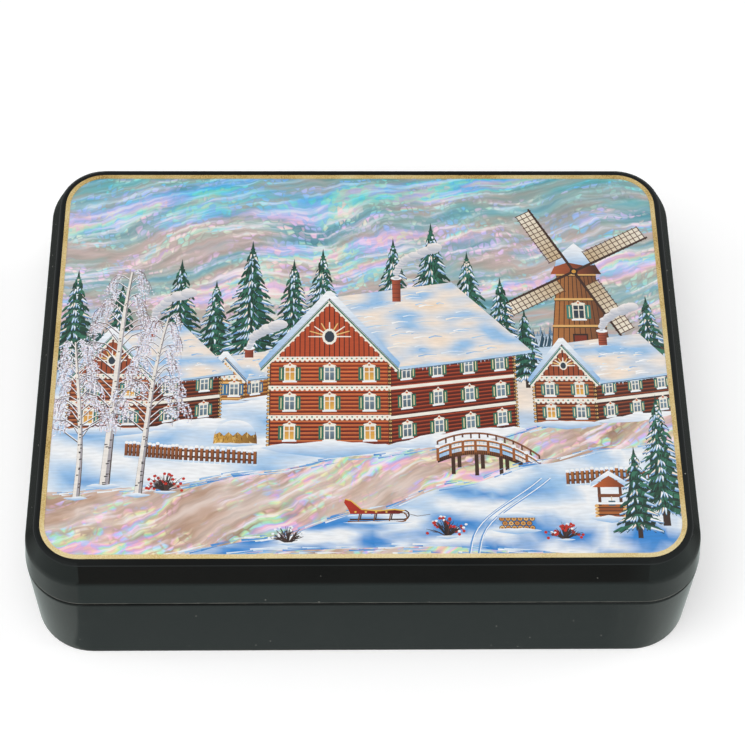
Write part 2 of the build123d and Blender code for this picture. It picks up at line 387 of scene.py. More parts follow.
# Pearl oyster at the front: rosy beige bands, warm colours in play
sand_bands = [(0.30, "#a5806a"), (0.41, "#c3a28d"), (0.49, "#d6bbac"), (0.57, "#e4d1c7"), (0.67, "#c9ad9b")]
sand_play = [
    (0.0, "#ccc0ff"), (0.2, "#ffbfe2"), (0.38, "#ffd4c2"), (0.55, "#f4f3b6"), (0.72, "#b6f6c8"),
    (0.86, "#b8e7fb"), (1.0, "#ccc0ff"),
]
oyster = shell_figure(24, (40, 9), sand_bands, (24, 6), sand_play, (30, 9), (2.8, 1.6), 0.38, 0.51)
# The change from back to front wavers with the layers
ABALONE_END, OYSTER_START = 4.0, -22.0
v_place = add(tree, "SeparateXYZ", {0: bent}).outputs[1]
front = add(tree, "MapRange", {0: v_place, 1: ABALONE_END, 2: OYSTER_START, 3: 0.0, 4: 1.0}).outputs[0]
veneer = add(tree, "Mix", {0: front, 6: abalone, 7: oyster}, data_type="RGBA").outputs[2]
# A thin clear glaze turns the sky blue towards the back edge. It lies in smears along the layers.
GLAZE_END, GLAZE_FULL = 26.0, 66.0
GLAZE_LENGTH, GLAZE_WIDTH, GLAZE_CONTRAST = 30, 6, 2.4
smear_grid = {0: bent, 1: (1 / GLAZE_LENGTH, 1 / GLAZE_WIDTH, 0)}
smear_at = add(tree, "VectorMath", smear_grid, operation="MULTIPLY").outputs[0]
smear = add(tree, "TexNoise", {"Vector": smear_at, "Scale": 1.0, "Detail": 3.0}).outputs[0]
v_flat = add(tree, "SeparateXYZ", {0: flat}).outputs[1]
thin = add(tree, "MapRange", {0: v_flat, 1: GLAZE_END, 2: GLAZE_FULL, 3: -2.0, 4: -0.5}).outputs[0]
laid_on = {0: smear, 1: GLAZE_CONTRAST, 2: thin}
glaze = add(tree, "Math", laid_on, operation="MULTIPLY_ADD", use_clamp=True).outputs[0]
glazed = {0: glaze, 6: veneer, 7: linear("#89f1ff")}
colour = add(tree, "Mix", glazed, data_type="RGBA", blend_type="MULTIPLY").outputs[2]
shader = add(tree, "BsdfPrincipled", {"Base Color": colour, "Roughness": 0.3, "Metallic": 0.1})
shader.inputs["Coat Weight"].default_value = 1.0
shader.inputs["Coat Roughness"].default_value = 0.04
add(tree, "OutputMaterial", {"Surface": shader.outputs[0]})
give_material("shell_veneer", pearl)


# Shell joints: clear resin that was rubbed into the hairlines between the sheets when they were glued.
# It lies almost level with them and takes on their colours. One bar fills each hairline.
SHEET_COLUMNS, SHEET_ROWS, HAIRLINE = 4, 5, 0.03
RESIN_DROP = 0.004


# Puts a new object into the scene
def new_object(name, data):
    made = bpy.data.objects.new(name, data)
    bpy.context.scene.collection.objects.link(made)
    return made


shell_low, shell_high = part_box("shell_veneer")
resin_parts = []
for axis, count in ((0, SHEET_COLUMNS), (1, SHEET_ROWS)):
    pitch = (shell_high[axis] - shell_low[axis] + HAIRLINE * MM) / count
    for i in range(1, count):
        middle = shell_low[axis] - HAIRLINE * MM / 2 + pitch * i
        low, high = list(shell_low), list(shell_high)
        low[axis], high[axis] = middle - HAIRLINE * MM / 2, middle + HAIRLINE * MM / 2
        high[2] -= RESIN_DROP * MM * (1 + axis)
        resin_parts.append((low, high))
BOX_SIDES = [(0, 1, 3, 2), (4, 6, 7, 5), (0, 4, 5, 1), (2, 3, 7, 6), (0, 2, 6, 4), (1, 5, 7, 3)]
resin_corners, resin_sides = [], []
for low, high in resin_parts:
    first = len(resin_corners)
    resin_corners += [
        (x, y, z) for x in (low[0], high[0]) for y in (low[1], high[1]) for z in (low[2], high[2])
    ]
    resin_sides += [[first + i for i in side] for side in BOX_SIDES]
resin_mesh = bpy.data.meshes.new("shell_joints")
resin_mesh.from_pydata(resin_corners, [], resin_sides)
resin_mesh.materials.append(pearl)
resin = new_object("shell_joints", resin_mesh)
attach(resin, "lid")


# Picture: a winter village in oil paint on the shell, made for this box, under clear lacquer. The shell
# stays bare for the sky, the river's ice and the near shore. Every patch of paint goes on in order, and
# the patches are then cut into flat films, so that no two lie on the same spot.
rng = random.Random(11)
patches = []
motif = "painted_hills"


def mixed(a, b, t):
    t = min(1.0, max(0.0, t))
    return [x + (y - x) * t for x, y in zip(a, b)]


# Paint that changes from one colour to another between two points
def fade(first, last, start, end):
    first, last = linear(first), linear(last)
    du, dv = end[0] - start[0], end[1] - start[1]
    size = du * du + dv * dv
    return lambda u, v: mixed(first, last, ((u - start[0]) * du + (v - start[1]) * dv) / size)


def rising(low_colour, high_colour, low, high):
    return fade(low_colour, high_colour, (0, low), (0, high))


# One patch of paint; the colour is a hex value or a function of the place
def lay(points, colour):
    turn = 0.0
    for (au, av), (bu, bv) in zip(points, points[1:] + points[:1]):
        turn += au * bv - bu * av
    if isinstance(colour, str):
        plain = linear(colour)
        colour = lambda u, v: plain
    if abs(turn) > 1e-4:
        patches.append((points if turn > 0 else points[::-1], colour, motif))


# A brush stroke along a line, thinning towards its end
def stroke(points, width, colour, end=0.4):
    sides = []
    for i, (u, v) in enumerate(points):
        bu, bv = points[max(i - 1, 0)]
        au, av = points[min(i + 1, len(points) - 1)]
        run = math.hypot(au - bu, av - bv) or 1.0
        half = width / 2 * (1 + (end - 1) * i / max(len(points) - 1, 1))
        nu, nv = -(av - bv) / run * half, (au - bu) / run * half
        sides.append(((u + nu, v + nv), (u - nu, v - nv)))
    for (a, b), (c, d) in zip(sides, sides[1:]):
        lay([a, b, d, c], colour)


def dab(u, v, wide, high, colour, sides=8):
    turns = [math.tau * i / sides for i in range(sides)]
    lay([(u + wide * math.cos(t), v + high * math.sin(t)) for t in turns], colour)


def box(u, v, wide, high, colour):
    lay([(u, v), (u + wide, v), (u + wide, v + high), (u, v + high)], colour)


# A stretch of ground between an upper and a lower line, in small cells so that its shading can vary
def ground_between(upper, lower, left, right, colour, rows, step=2.5):
    count = max(1, round((right - left) / step))
    for i in range(count):
        ua = left + (right - left) * i / count
        ub = left + (right - left) * (i + 1) / count
        for j in range(rows):
            corners = []
            for u, t in ((ua, j), (ub, j), (ub, j + 1), (ua, j + 1)):
                corners.append((u, lower(u) + (upper(u) - lower(u)) * t / rows))
            lay(corners, colour)


def between(places):
    def line(u):
        if u <= places[0][0]:
            return places[0][1]
        for (ua, va), (ub, vb) in zip(places, places[1:]):
            if u <= ub:
                t = (u - ua) / (ub - ua)
                t = t * t * (3 - 2 * t)
                return va + (vb - va) * t
        return places[-1][1]

    return line


# The picture reaches this far to the left and the right of its middle
EDGE = 93
INK = "#231713"
SNOW = linear("#f5f7f9")
SNOW_BLUE = linear("#9cc6ec")
SNOW_DEEP = linear("#3f86cf")
SNOW_PEACH = linear("#f8dfc4")


# Snow in low sun: white, blue in the hollows, peach where the light strikes
def snow(u, v):
    hollow = noise.noise(Vector((u / 19, v / 6.5, 3.1)))
    fine = noise.noise(Vector((u / 7, v / 2.6, 9.4)))
    tone = mixed(SNOW, SNOW_BLUE, 0.35 - hollow * 1.5 + fine * 0.35)
    tone = mixed(tone, SNOW_DEEP, -hollow * 2.2 - 0.75 + fine * 0.4)
    sun = min(1.0, max(0.0, (u + 5) / 50)) * max(0.0, 1 - abs(v + 13) / 13)
    return mixed(tone, SNOW_PEACH, sun * (0.75 + 0.5 * hollow))


# Far hills in haze, with two lines of forest
def far_ridge(u):
    return 8.5 + 2.6 * math.sin(u / 23 + 0.8) + 1.4 * math.sin(u / 9.5)


def near_ridge(u):
    return 2.5 + 2.2 * math.sin(u / 31 - 1.2) + 0.9 * math.sin(u / 11 + 2)


def hill_foot(u):
    return -9.0


def small_fir(u, v, high, colour):
    wide = high * rng.uniform(0.2, 0.27)
    right, left = [], []
    for t in (1 / 3, 2 / 3, 1.0):
        for half, level in ((wide * t, 1 - t * 0.95), (wide * t * 0.55, 1.02 - t * 0.95)):
            right.append((u + half, v + high * level))
            left.append((u - half, v + high * level))
    lay([(u, v + high)] + right + left[::-1], colour)


ground_between(far_ridge, hill_foot, -EDGE, EDGE, rising("#e6eef5", "#8fabc6", -4, 11), 5)
for i in range(150):
    u = 1 - EDGE + i * 1.235 + rng.uniform(-0.4, 0.4)
    if noise.noise(Vector((u / 17, 5.5, 0))) > -0.28:
        high = rng.uniform(2.0, 4.4)
        small_fir(u, far_ridge(u) - 0.8, high, rng.choice(("#7390ab", "#6382a0", "#86a0b8")))
ground_between(near_ridge, hill_foot, -EDGE, EDGE, rising("#f3f6f9", "#b9d2ea", -6, 4), 5)
for i in range(190):
    u = 1 - EDGE + i * 0.97 + rng.uniform(-0.5, 0.5)
    if noise.noise(Vector((u / 13, 1.7, 0))) > 0.02:
        high = rng.uniform(3.6, 7.2)
        small_fir(u, near_ridge(u) - 1.6, high, rng.choice(("#2b4f63", "#35607a", "#24475a", "#3d6a78")))
        frosted = [(u - high * 0.2, near_ridge(u) - 1.2), (u, near_ridge(u) + high * 0.6)]
        stroke(frosted, 0.35, "#d5e4f1", 0.2)

# The far bank, where the village stands, and the near bank; the river's ice between them is bare shell
far_shore = between([(-93, -47), (-60, -45), (-30, -40), (0, -35), (30, -30.5), (62, -23), (93, -19)])
near_shore = between([(-62, -69), (-30, -63), (0, -54), (28, -45), (52, -38), (74, -33), (93, -31)])
motif = "painted_far_bank"
ground_between(lambda u: near_ridge(u) - 5.5, far_shore, -EDGE, EDGE, snow, 16)


# Ragged dry-brush strokes along a shore, half white and half blue
def shore_strokes(shore, left, right, count, below):
    for _ in range(count):
        u = rng.uniform(left, right)
        v = shore(u) + rng.uniform(-1.6, 0.7) * below
        length = rng.uniform(2.0, 7.5)
        slope = (shore(u + length) - shore(u)) / length
        colour = rng.choice(("#f4f7fa", "#dbe9f6", "#9cc6ec", "#6fabe0", "#4f93d8"))
        line = [(u + length * t, v + slope * length * t) for t in (0.0, 0.5, 1.0)]
        stroke(line, rng.uniform(0.25, 0.7), colour, 0.1)


shore_strokes(far_shore, -EDGE, EDGE - 1, 190, 1.0)
# A dark belt of forest behind the village, in two rows
for i in range(320):
    u = 1 - EDGE + (i % 160) * 0.9 + rng.uniform(-0.4, 0.4)
    if noise.noise(Vector((u / 15, 8.2, 0))) > -0.5:
        foot = near_ridge(u) - 5.5 - 2.5 * (i // 160) + rng.uniform(-0.8, 0.8)
        high = rng.uniform(6.0, 12.5)
        green = rng.choice(("#1f4a45", "#2b5a56", "#24504f"))
        small_fir(u, foot, high, rising("#0d2628", green, foot, foot + high))
        for k in range(3):
            side = rng.choice((-1, 1))
            level = foot + high * (0.2 + 0.25 * k)
            stroke([(u, level + 0.6), (u + side * high * 0.2 * (1 - 0.28 * k), level)], 0.5, "#dce8f4", 0.3)


# A snow-laden fir: tiers of drooping boughs from the ground up, with snow along their tops
def fir(u, v, high, wide):
    stroke([(u, v - 0.6), (u, v + high * 0.3)], high * 0.05, "#35231b", 0.8)
    inner = [(u - wide * 0.6, v + high * 0.1), (u + wide * 0.6, v + high * 0.1), (u, v + high)]
    lay(inner, rising("#0c211f", "#1c4237", v, v + high))
    tiers = max(6, round(high / 3.2))
    for i in range(tiers):
        t = i / tiers
        level = v + high * (0.08 + 0.85 * t)
        half = wide * (1 - t) ** 0.85 + wide * 0.05
        boughs = max(2, round(half / 1.1))
        for k in range(-boughs, boughs + 1):
            s = k / boughs
            reach = half * s * rng.uniform(0.85, 1.08)
            root = (u + reach * 0.3, level + high * 0.055 * (1 - abs(s)) + 0.4)
            tip = (u + reach, level - high * 0.03 * abs(s) ** 1.5 - rng.uniform(0.0, 0.6))
            middle = (u + reach * 0.7, (root[1] + tip[1]) / 2 + 0.5)
            green = rng.choice(("#1d4f40", "#2a6450", "#17402f", "#35735a"))
            stroke([root, middle, tip], 1.5, green, 0.25)
            stroke([(middle[0], middle[1] - 0.5), (tip[0], tip[1] - 0.4)], 0.4, "#0a1f1b", 0.4)
            if rng.random() < 0.62:
                white = rng.choice(("#f7f9fc", "#e6eff8", "#f7e9da", "#c4dbf1"))
                ends = [(root[0] + (middle[0] - root[0]) * 0.4, middle[1] + 0.25), (tip[0], tip[1] + 0.35)]
                stroke([(a, b - 0.35) for a, b in ends], 0.7, "#6f9fd2", 0.3)
                stroke(ends, 0.7, white, 0.3)


# A carved window with shutters. The function at places a point, given across and up from its middle.
def carved_window(at, wide, high, trim, shutter, glass):
    a, b = wide / 2, high / 2

    def panel(x, y, w, h, colour):
        lay([at(x, y), at(x + w, y), at(x + w, y + h), at(x, y + h)], colour)

    for s in (-1, 1):
        middle = s * (a + 0.5 + wide * 0.27)
        panel(middle - wide * 0.27, -b - 0.2, wide * 0.54, high + 0.4, shutter)
        stroke([at(middle, -b + 0.3), at(middle, b - 0.3)], 0.3, "#e9d9a8", 1.0)
    panel(-a - 0.5, -b - 0.5, wide + 1.0, high + 1.0, trim)
    crown = [(-a - 0.8, b + 0.4), (a + 0.8, b + 0.4), (a + 0.4, b + 0.9), (a * 0.45, b + 1.2), (0, b + 2.0)]
    crown += [(-a * 0.45, b + 1.2), (-a - 0.4, b + 0.9)]
    lay([at(*c) for c in crown], trim)
    heart = at(0, b + 1.0)
    dab(heart[0], heart[1], 0.4, 0.35, "#c8642a", 6)
    panel(-a, -b, wide, high, glass)
    stroke([at(0, -b), at(0, b)], 0.3, trim, 1.0)
    stroke([at(-a, b * 0.3), at(a, b * 0.3)], 0.3, trim, 1.0)
    for x in (-a - 0.5, a + 0.5):
        stroke([at(x, -b - 0.5), at(x, b + 0.5)], 0.16, INK, 1.0)
    stroke([at(-a - 0.8, -b - 0.6), at(a + 0.8, -b - 0.6)], 0.6, "#f4f8fc", 0.8)


# A drift of snow with a lumpy crest, blue along its foot
def drift(u, v, wide, high, rise=0.0):
    crest = []
    for k in range(13):
        t = k / 12
        lump = 0.55 + 0.45 * noise.noise(Vector((u + t * wide, v, 0)) / 2.7)
        crest.append((u + wide * t, v + rise * wide * t + high * lump * math.sin(math.pi * t) ** 0.6))
    foot = [
        (u + wide * t, v + rise * wide * t - high * 0.9 * math.sin(math.pi * t)) for t in (0.85, 0.5, 0.15)
    ]
    lay(crest + foot, rising("#8dbbe6", "#f8fafc", v - high * 0.6, v + high * 0.5))


# Chimney smoke: soft puffs that swell as they drift off to the right
def smoke(u, v, size):
    for k in range(16):
        t = k / 15
        pu = u + size * (0.05 * t + 0.75 * t * t) + rng.uniform(-0.4, 0.4) * (0.4 + t)
        pv = v + size * 0.95 * t * (1 - 0.25 * t) + rng.uniform(-0.4, 0.4) * (0.4 + t)
        puff = 0.7 + 1.5 * t + rng.uniform(-0.2, 0.2)
        dab(pu, pv, puff * 1.15, puff * 0.8, rising("#a9b4c6", "#fbf3ef", pv - puff, pv + puff * 0.7), 10)


# A log cottage seen from a corner: its gable in front, its long wall going back to the right
def cottage(u, v, wide, wall, gable, deep, tones, trim, shutter, panes, storeys=1, rise=0.16):
    light, shaded, groove, gleam = tones
    peak = (u + wide / 2, v + wall + gable)
    pitch = gable / (wide / 2)
    over = wide * 0.08

    def front(x, y):
        return (u + x, v + y)

    def side(x, y):
        return (u + wide + x, v + rise * x + y * (1 - 0.08 * x / deep))

    long_wall = [side(0, 0), side(deep, 0), side(deep, wall), side(0, wall)]
    lay(long_wall, fade(shaded, groove, side(0, wall), side(deep, -wall)))
    outline = [front(0, 0), front(wide, 0), front(wide, wall), peak, front(0, wall)]
    lay(outline, rising(shaded, light, v - wall * 0.3, v + wall))
    rows = round(wall / 1.35)
    for i in range(rows + 1):
        y = wall * i / rows
        stroke([front(0, y), front(wide, y)], 0.3, groove, 1.0)
        stroke([side(0, y), side(deep, y)], 0.3, groove, 1.0)
        if i < rows:
            stroke([front(0.3, y + 0.75), front(wide - 0.3, y + 0.75)], 0.32, gleam, 1.0)
            stroke([side(0.3, y + 0.75), side(deep, y + 0.75)], 0.26, light, 1.0)
    boards = round(wide / 1.5)
    for i in range(1, boards):
        x = wide * i / boards
        board_top = wall + gable * (1 - abs(2 * x / wide - 1))
        stroke([front(x, wall + 0.4), front(x, board_top)], 0.28, groove, 1.0)
    for i in range(rows):
        y = wall * (i + 0.5) / rows
        for end_u, end_v in (front(-0.3, y), front(wide + 0.1, y), side(deep + 0.1, y)):
            dab(end_u, end_v, 0.68, 0.58, INK, 6)
            dab(end_u, end_v, 0.5, 0.42, "#e2b06a", 6)
    for corner, x in ((front, 0), (front, wide), (side, deep)):
        stroke([corner(x, 0), corner(x, wall)], 0.2, INK, 1.0)
    # Carved bands between storeys and under the gable
    for level in range(1, storeys + 1):
        y = wall * level / storeys
        stroke([front(-0.4, y), front(wide + 0.4, y)], 1.3, trim, 1.0)
        stroke([side(0, y - 0.4), side(deep, y - 0.4)], 1.1, trim, 1.0)
        for k in range(round(wide / 1.5)):
            dab(u + 0.75 + 1.5 * k, v + y - 0.75, 0.55, 0.5, trim, 6)
            dab(u + 0.75 + 1.5 * k, v + y, 0.34, 0.34, "#c8642a" if k % 2 else "#2f7f77", 4)
    floor = wall / storeys
    for level in range(storeys):
        middle = floor * (level + 0.47)
        tall = min(floor * 0.42, 5.4)
        for k in range(panes[0]):
            x = wide * (k + 0.5) / panes[0]
            glass = rising("#f6c65c", "#b9662a", v + middle - tall, v + middle + tall)
            if (k + level) % 2:
                glass = rising("#31404f", "#8fa6b4", v + middle - tall, v + middle + tall)
            carved_window(lambda p, q: front(x + p, middle + q), tall * 0.62, tall, trim, shutter, glass)
        for k in range(panes[1]):
            x = deep * (k + 0.55) / panes[1]
            glass = rising("#26323f", "#7790a0", v + middle - tall, v + middle + tall)
            pane = (tall * 0.6, tall * 0.92)
            carved_window(lambda p, q: side(x + p * 0.85, middle + q), *pane, trim, shutter, glass)
    # Attic window in the gable, with rays carved round it
    attic = (u + wide / 2, v + wall + gable * 0.36)
    for k in range(9):
        turn = math.pi * k / 8
        reach = gable * 0.24
        tip = (attic[0] + 1.25 * reach * math.cos(turn), attic[1] + reach * math.sin(turn))
        stroke([attic, tip], 0.55, "#e9c27a" if k % 2 else trim, 0.6)
    dab(attic[0], attic[1], gable * 0.105, gable * 0.135, trim, 10)
    dab(attic[0], attic[1], gable * 0.07, gable * 0.095, "#2c3945", 10)

    # Snow on the roof, from the ridge to the eaves, and along the gable's edge
    def roof(s, t):
        top = (peak[0] + deep * s, peak[1] + 0.3 + rise * deep * s * 0.94)
        low = (u + wide + over + (deep + over) * s, v + wall - over * pitch + rise * deep * s)
        return (top[0] + (low[0] - top[0]) * t, top[1] + (low[1] - top[1]) * t)

    across, down = round(deep / 1.5), round(wide / 2.0)
    for i in range(across):
        for j in range(down):
            corners = ((i, j), (i, j + 1), (i + 1, j + 1), (i + 1, j))
            lay([roof(a / across, b / down) for a, b in corners], roof_snow)
    for _ in range(round(deep * 1.6)):
        s, t = rng.uniform(0.02, 0.8), rng.uniform(0.05, 0.95)
        length = rng.uniform(0.05, 0.18)
        tone = rng.choice(("#fdfdfd", "#fdf3e6", "#e7f0f9", "#b4d2ee", "#8fbbe6"))
        line = [roof(s, t), roof(s + length * 0.5, t - 0.01), roof(s + length, t + 0.01)]
        stroke(line, rng.uniform(0.25, 0.6), tone, 0.2)
    for k in range(round(deep / 1.1)):
        hang = roof(k * 1.1 / deep, 1.0)
        drop = (hang[0] + 0.3, hang[1] - rng.uniform(0.7, 2.0))
        lay([hang, (hang[0] + 0.6, hang[1] + 0.1), drop], "#d7e8f6")
    stroke([roof(0, 1.0), roof(0.5, 1.02), roof(1, 1.0)], 1.0, "#b7d5ef", 1.0)
    stroke([roof(0, 1.03), roof(1, 1.03)], 0.25, "#3d5c80", 1.0)
    eaves = ((u - over, v + wall - over * pitch), (u + wide + over, v + wall - over * pitch))
    for foot in eaves:
        board = [(foot[0], foot[1] - 0.7), (peak[0], peak[1] - 0.7)]
        stroke(board, 1.5, trim, 1.0)
        stroke(board, 0.45, shutter, 1.0)
        knobs = round(wide / 2.6)
        for k in range(knobs):
            t = (k + 0.5) / knobs
            knob = [foot[axis] + (peak[axis] - foot[axis]) * t for axis in (0, 1)]
            dab(knob[0], knob[1] - 1.75, 0.55, 0.5, trim, 6)
    thick = 1.5 + wide * 0.025
    rim = [eaves[0], (peak[0], peak[1]), eaves[1], (eaves[1][0] + 0.6, eaves[1][1] + thick * 0.8)]
    rim += [(peak[0] + 0.5, peak[1] + thick * 1.2), (peak[0] - 0.8, peak[1] + thick * 1.15)]
    rim += [(eaves[0][0] - 0.7, eaves[0][1] + thick * 0.7)]
    lay(rim, rising("#8fbde8", "#fbfcfd", v + wall, peak[1] + thick * 0.6))
    stroke([eaves[0], peak, eaves[1]], 0.22, "#3d5c80", 1.0)
    # Chimney
    cu, cv = roof(0.45, 0.16)
    tall = gable * 0.36
    box(cu - 1.2, cv, 2.6, tall, fade("#b4573a", "#7a3524", (cu - 1.2, cv), (cu + 1.4, cv)))
    for k in range(1, 5):
        stroke([(cu - 1.2, cv + tall * k / 5), (cu + 1.4, cv + tall * k / 5)], 0.16, "#4a2018", 1.0)
    box(cu - 1.6, cv + tall, 3.4, 0.7, "#8a4430")
    dab(cu + 0.1, cv + tall + 0.9, 1.8, 0.7, "#f7f9fb", 10)
    drift(u - 2.5, v - 0.3, wide + 4.5, wall * 0.13)
    drift(u + wide - 1.5, v + 0.2, deep + 4.0, wall * 0.12, rise * 0.9)
    return cu + 0.1, cv + tall + 1.2


def roof_snow(u, v):
    fold = noise.noise(Vector((u / 9, v / 4.0, 21.0)))
    tone = mixed(SNOW, SNOW_BLUE, 0.42 - fold * 1.3)
    return mixed(tone, SNOW_PEACH, 0.35 + fold * 0.8)


# A far hut: gable wall with a lit window, long wall in shade and two slopes of snow
def small_hut(u, v, size, wall, roof):
    box(u, v, size, size * 0.6, wall)
    box(u + size * 0.4, v + size * 0.15, size * 0.2, size * 0.25, "#f4c665")
    gable = ((0, 0.55), (1, 0.55), (0.5, 1))
    long_wall = ((1, 0.06), (1.9, 0.14), (1.9, 0.6), (1, 0.58))
    long_slope = ((0.5, 1.08), (1.45, 1.12), (2.05, 0.6), (1.1, 0.52))
    gable_snow = ((-0.12, 0.5), (0.5, 1), (1.1, 0.5), (0.5, 1.18))
    for shape, colour in ((gable, wall), (long_wall, "#5b3a2b"), (long_slope, roof), (gable_snow, roof)):
        lay([(u + size * a, v + size * b) for a, b in shape], colour)


# A tower mill of brown planks, with four lattice sails
def windmill(u, v, high):
    foot, head = high * 0.30, high * 0.19
    tower = [(u - foot, v), (u + foot, v), (u + head, v + high), (u - head, v + high)]
    lay(tower, fade("#b9783f", "#5a3220", (u - foot, v), (u + foot, v)))
    for i in range(11):
        s = -1 + 2 * i / 10
        stroke([(u + s * foot, v), (u + s * head, v + high)], 0.26, "#3f2318", 1.0)
    for level in (0.03, 0.36, 0.68, 0.98):
        half = foot + (head - foot) * level + 0.3
        for drop, width, colour in ((0.0, 0.9, "#e2b06a"), (0.5, 0.3, INK)):
            band = v + high * level - drop
            stroke([(u - half, band), (u + half, band)], width, colour, 1.0)
    pane = (high * 0.1, high * 0.15)
    carved_window(lambda p, q: (u + p, v + high * 0.53 + q), *pane, "#f1ead9", "#2f7f77", "#2c3945")
    box(u - high * 0.075, v + 0.6, high * 0.15, high * 0.25, "#2a1a14")
    box(u - high * 0.06, v + 0.6, high * 0.12, high * 0.23, "#7e2f1c")
    cap = [(u - head * 1.35, v + high - 0.4), (u + head * 1.35, v + high - 0.4)]
    cap += [(u + head * a, v + high * b) for a, b in ((0.9, 1.17), (0, 1.32), (-0.9, 1.17))]
    lay(cap, fade("#a9552e", "#4a2418", (u - head, v + high), (u + head, v + high)))
    cap_snow = ((-1.1, 1.08), (-0.4, 1.13), (0.5, 1.09), (1.05, 1.1), (0.9, 1.2), (0, 1.37), (-0.95, 1.2))
    snow_tones = rising("#9cc5ea", "#fbfcfd", v + high * 1.08, v + high * 1.3)
    lay([(u + head * a, v + high * b) for a, b in cap_snow], snow_tones)
    hub = (u - head * 0.1, v + high * 1.02)
    arm = high * 0.86
    for k in range(4):
        turn = 0.5 + k * math.pi / 2
        du, dv = math.cos(turn), math.sin(turn)

        def sail(along, across):
            out, aside = along * arm, across * arm
            return (hub[0] + du * out - dv * aside, hub[1] + dv * out + du * aside)

        cloth = [sail(0.24, 0.0), sail(1.0, 0.0), sail(1.0, 0.19), sail(0.24, 0.17)]
        lay(cloth, fade("#f3ead8", "#c9b08a", sail(1, 0), sail(0.2, 0)))
        for i in range(13):
            t = 0.24 + 0.76 * i / 12
            stroke([sail(t, -0.02), sail(t, 0.2)], 0.3, "#5a3a26", 1.0)
        for across in (0.065, 0.13, 0.185):
            stroke([sail(0.24, across), sail(1.0, across)], 0.26, "#5a3a26", 1.0)
        stroke([sail(0, 0), sail(1.03, 0)], 0.95, "#3a2218", 0.7)
    dab(hub[0], hub[1], 1.3, 1.3, INK, 10)
    dab(hub[0], hub[1], 0.7, 0.7, "#d79a3e", 8)
    drift(u - foot - 2, v, 2 * foot + 4, high * 0.07)


# A haystack under a cap of snow
def hay(u, v, wide, high):
    turns = [math.pi * i / 16 for i in range(17)]
    dome = [(u + wide * math.cos(t), v + high * math.sin(t) ** 0.7) for t in turns]
    lay(dome, fade("#d9a648", "#7c5424", (u - wide, v), (u + wide, v)))
    for _ in range(60):
        s = rng.uniform(-0.95, 0.95)
        y = v + high * math.sqrt(1 - s * s) * rng.uniform(0.05, 0.8)
        straw = rng.choice(("#efce83", "#8a5f2a", "#5f3f1c"))
        stroke([(u + s * wide, y), (u + s * wide * 1.06, y - high * 0.13)], 0.24, straw, 0.5)
    turns = [math.pi * i / 14 for i in range(15)]
    cap = [(u + wide * 0.92 * math.cos(t), v + high * (0.42 + 0.62 * math.sin(t))) for t in turns]
    hem = []
    for i in range(1, 9):
        level = 0.42 + (0.1 if i % 2 else -0.06)
        hem.append((u + wide * (-0.92 + 1.84 * i / 9), v + high * level))
    lay(cap + hem, rising("#93bfe8", "#fbfcfd", v + high * 0.35, v + high * 0.95))
    drift(u - wide - 1, v, 2 * wide + 2, high * 0.12)


# A picket fence along a path, with snow on every picket
def picket_fence(path, count, high, colour):
    def spot(t):
        t = t * (len(path) - 1)
        i = min(int(t), len(path) - 2)
        return [path[i][k] + (path[i + 1][k] - path[i][k]) * (t - i) for k in (0, 1)]

    steps = [spot(i / 20) for i in range(21)]
    for level in (0.3, 0.7):
        stroke([(u, v + high * level) for u, v in steps], 0.7, "#5e3520", 1.0)
    for i in range(count + 1):
        u, v = spot(i / count)
        tall = high * rng.uniform(0.93, 1.06)
        picket = [
            (u - 0.5, v), (u + 0.5, v), (u + 0.5, v + tall - 0.7), (u, v + tall), (u - 0.5, v + tall - 0.7)
        ]
        lay(picket, rising("#6b3a20", colour, v, v + tall))
        stroke([(u + 0.42, v), (u + 0.42, v + tall - 0.7)], 0.2, INK, 1.0)
        dab(u, v + tall - 0.1, 0.62, 0.55, "#f7f9fb", 7)
        dab(u, v - 0.1, 0.8, 0.4, "#cfe2f3", 6)


# A bare bush with snow on its twigs, and with red berries or without
def bush(u, v, size, berries):
    for _ in range(34):
        turn = rng.uniform(-1.15, 1.15)
        reach = size * rng.uniform(0.55, 1.0)
        bend = turn * 1.25
        middle = (u + reach * 0.5 * math.sin(turn), v + reach * 0.5 * math.cos(turn))
        tip = (middle[0] + reach * 0.5 * math.sin(bend), middle[1] + reach * 0.5 * math.cos(bend))
        stroke([(u, v), middle, tip], 0.42, rng.choice(("#2d1f1c", "#46302a", "#1f1a1c")), 0.25)
        for _ in range(2):
            fork = turn + rng.uniform(-0.7, 0.7)
            twig = (middle[0] + reach * 0.32 * math.sin(fork), middle[1] + reach * 0.32 * math.cos(fork))
            stroke([middle, twig], 0.24, "#3a2a28", 0.3)
        if rng.random() < 0.35:
            dab(tip[0], tip[1], 0.5, 0.4, "#f3f6fa", 6)
        if berries and rng.random() < 0.7:
            dab(tip[0] + rng.uniform(-0.6, 0.6), tip[1] - rng.uniform(0.2, 1.2), 0.5, 0.5, "#c22a1c", 6)
    drift(u - size * 0.5, v, size, size * 0.12)


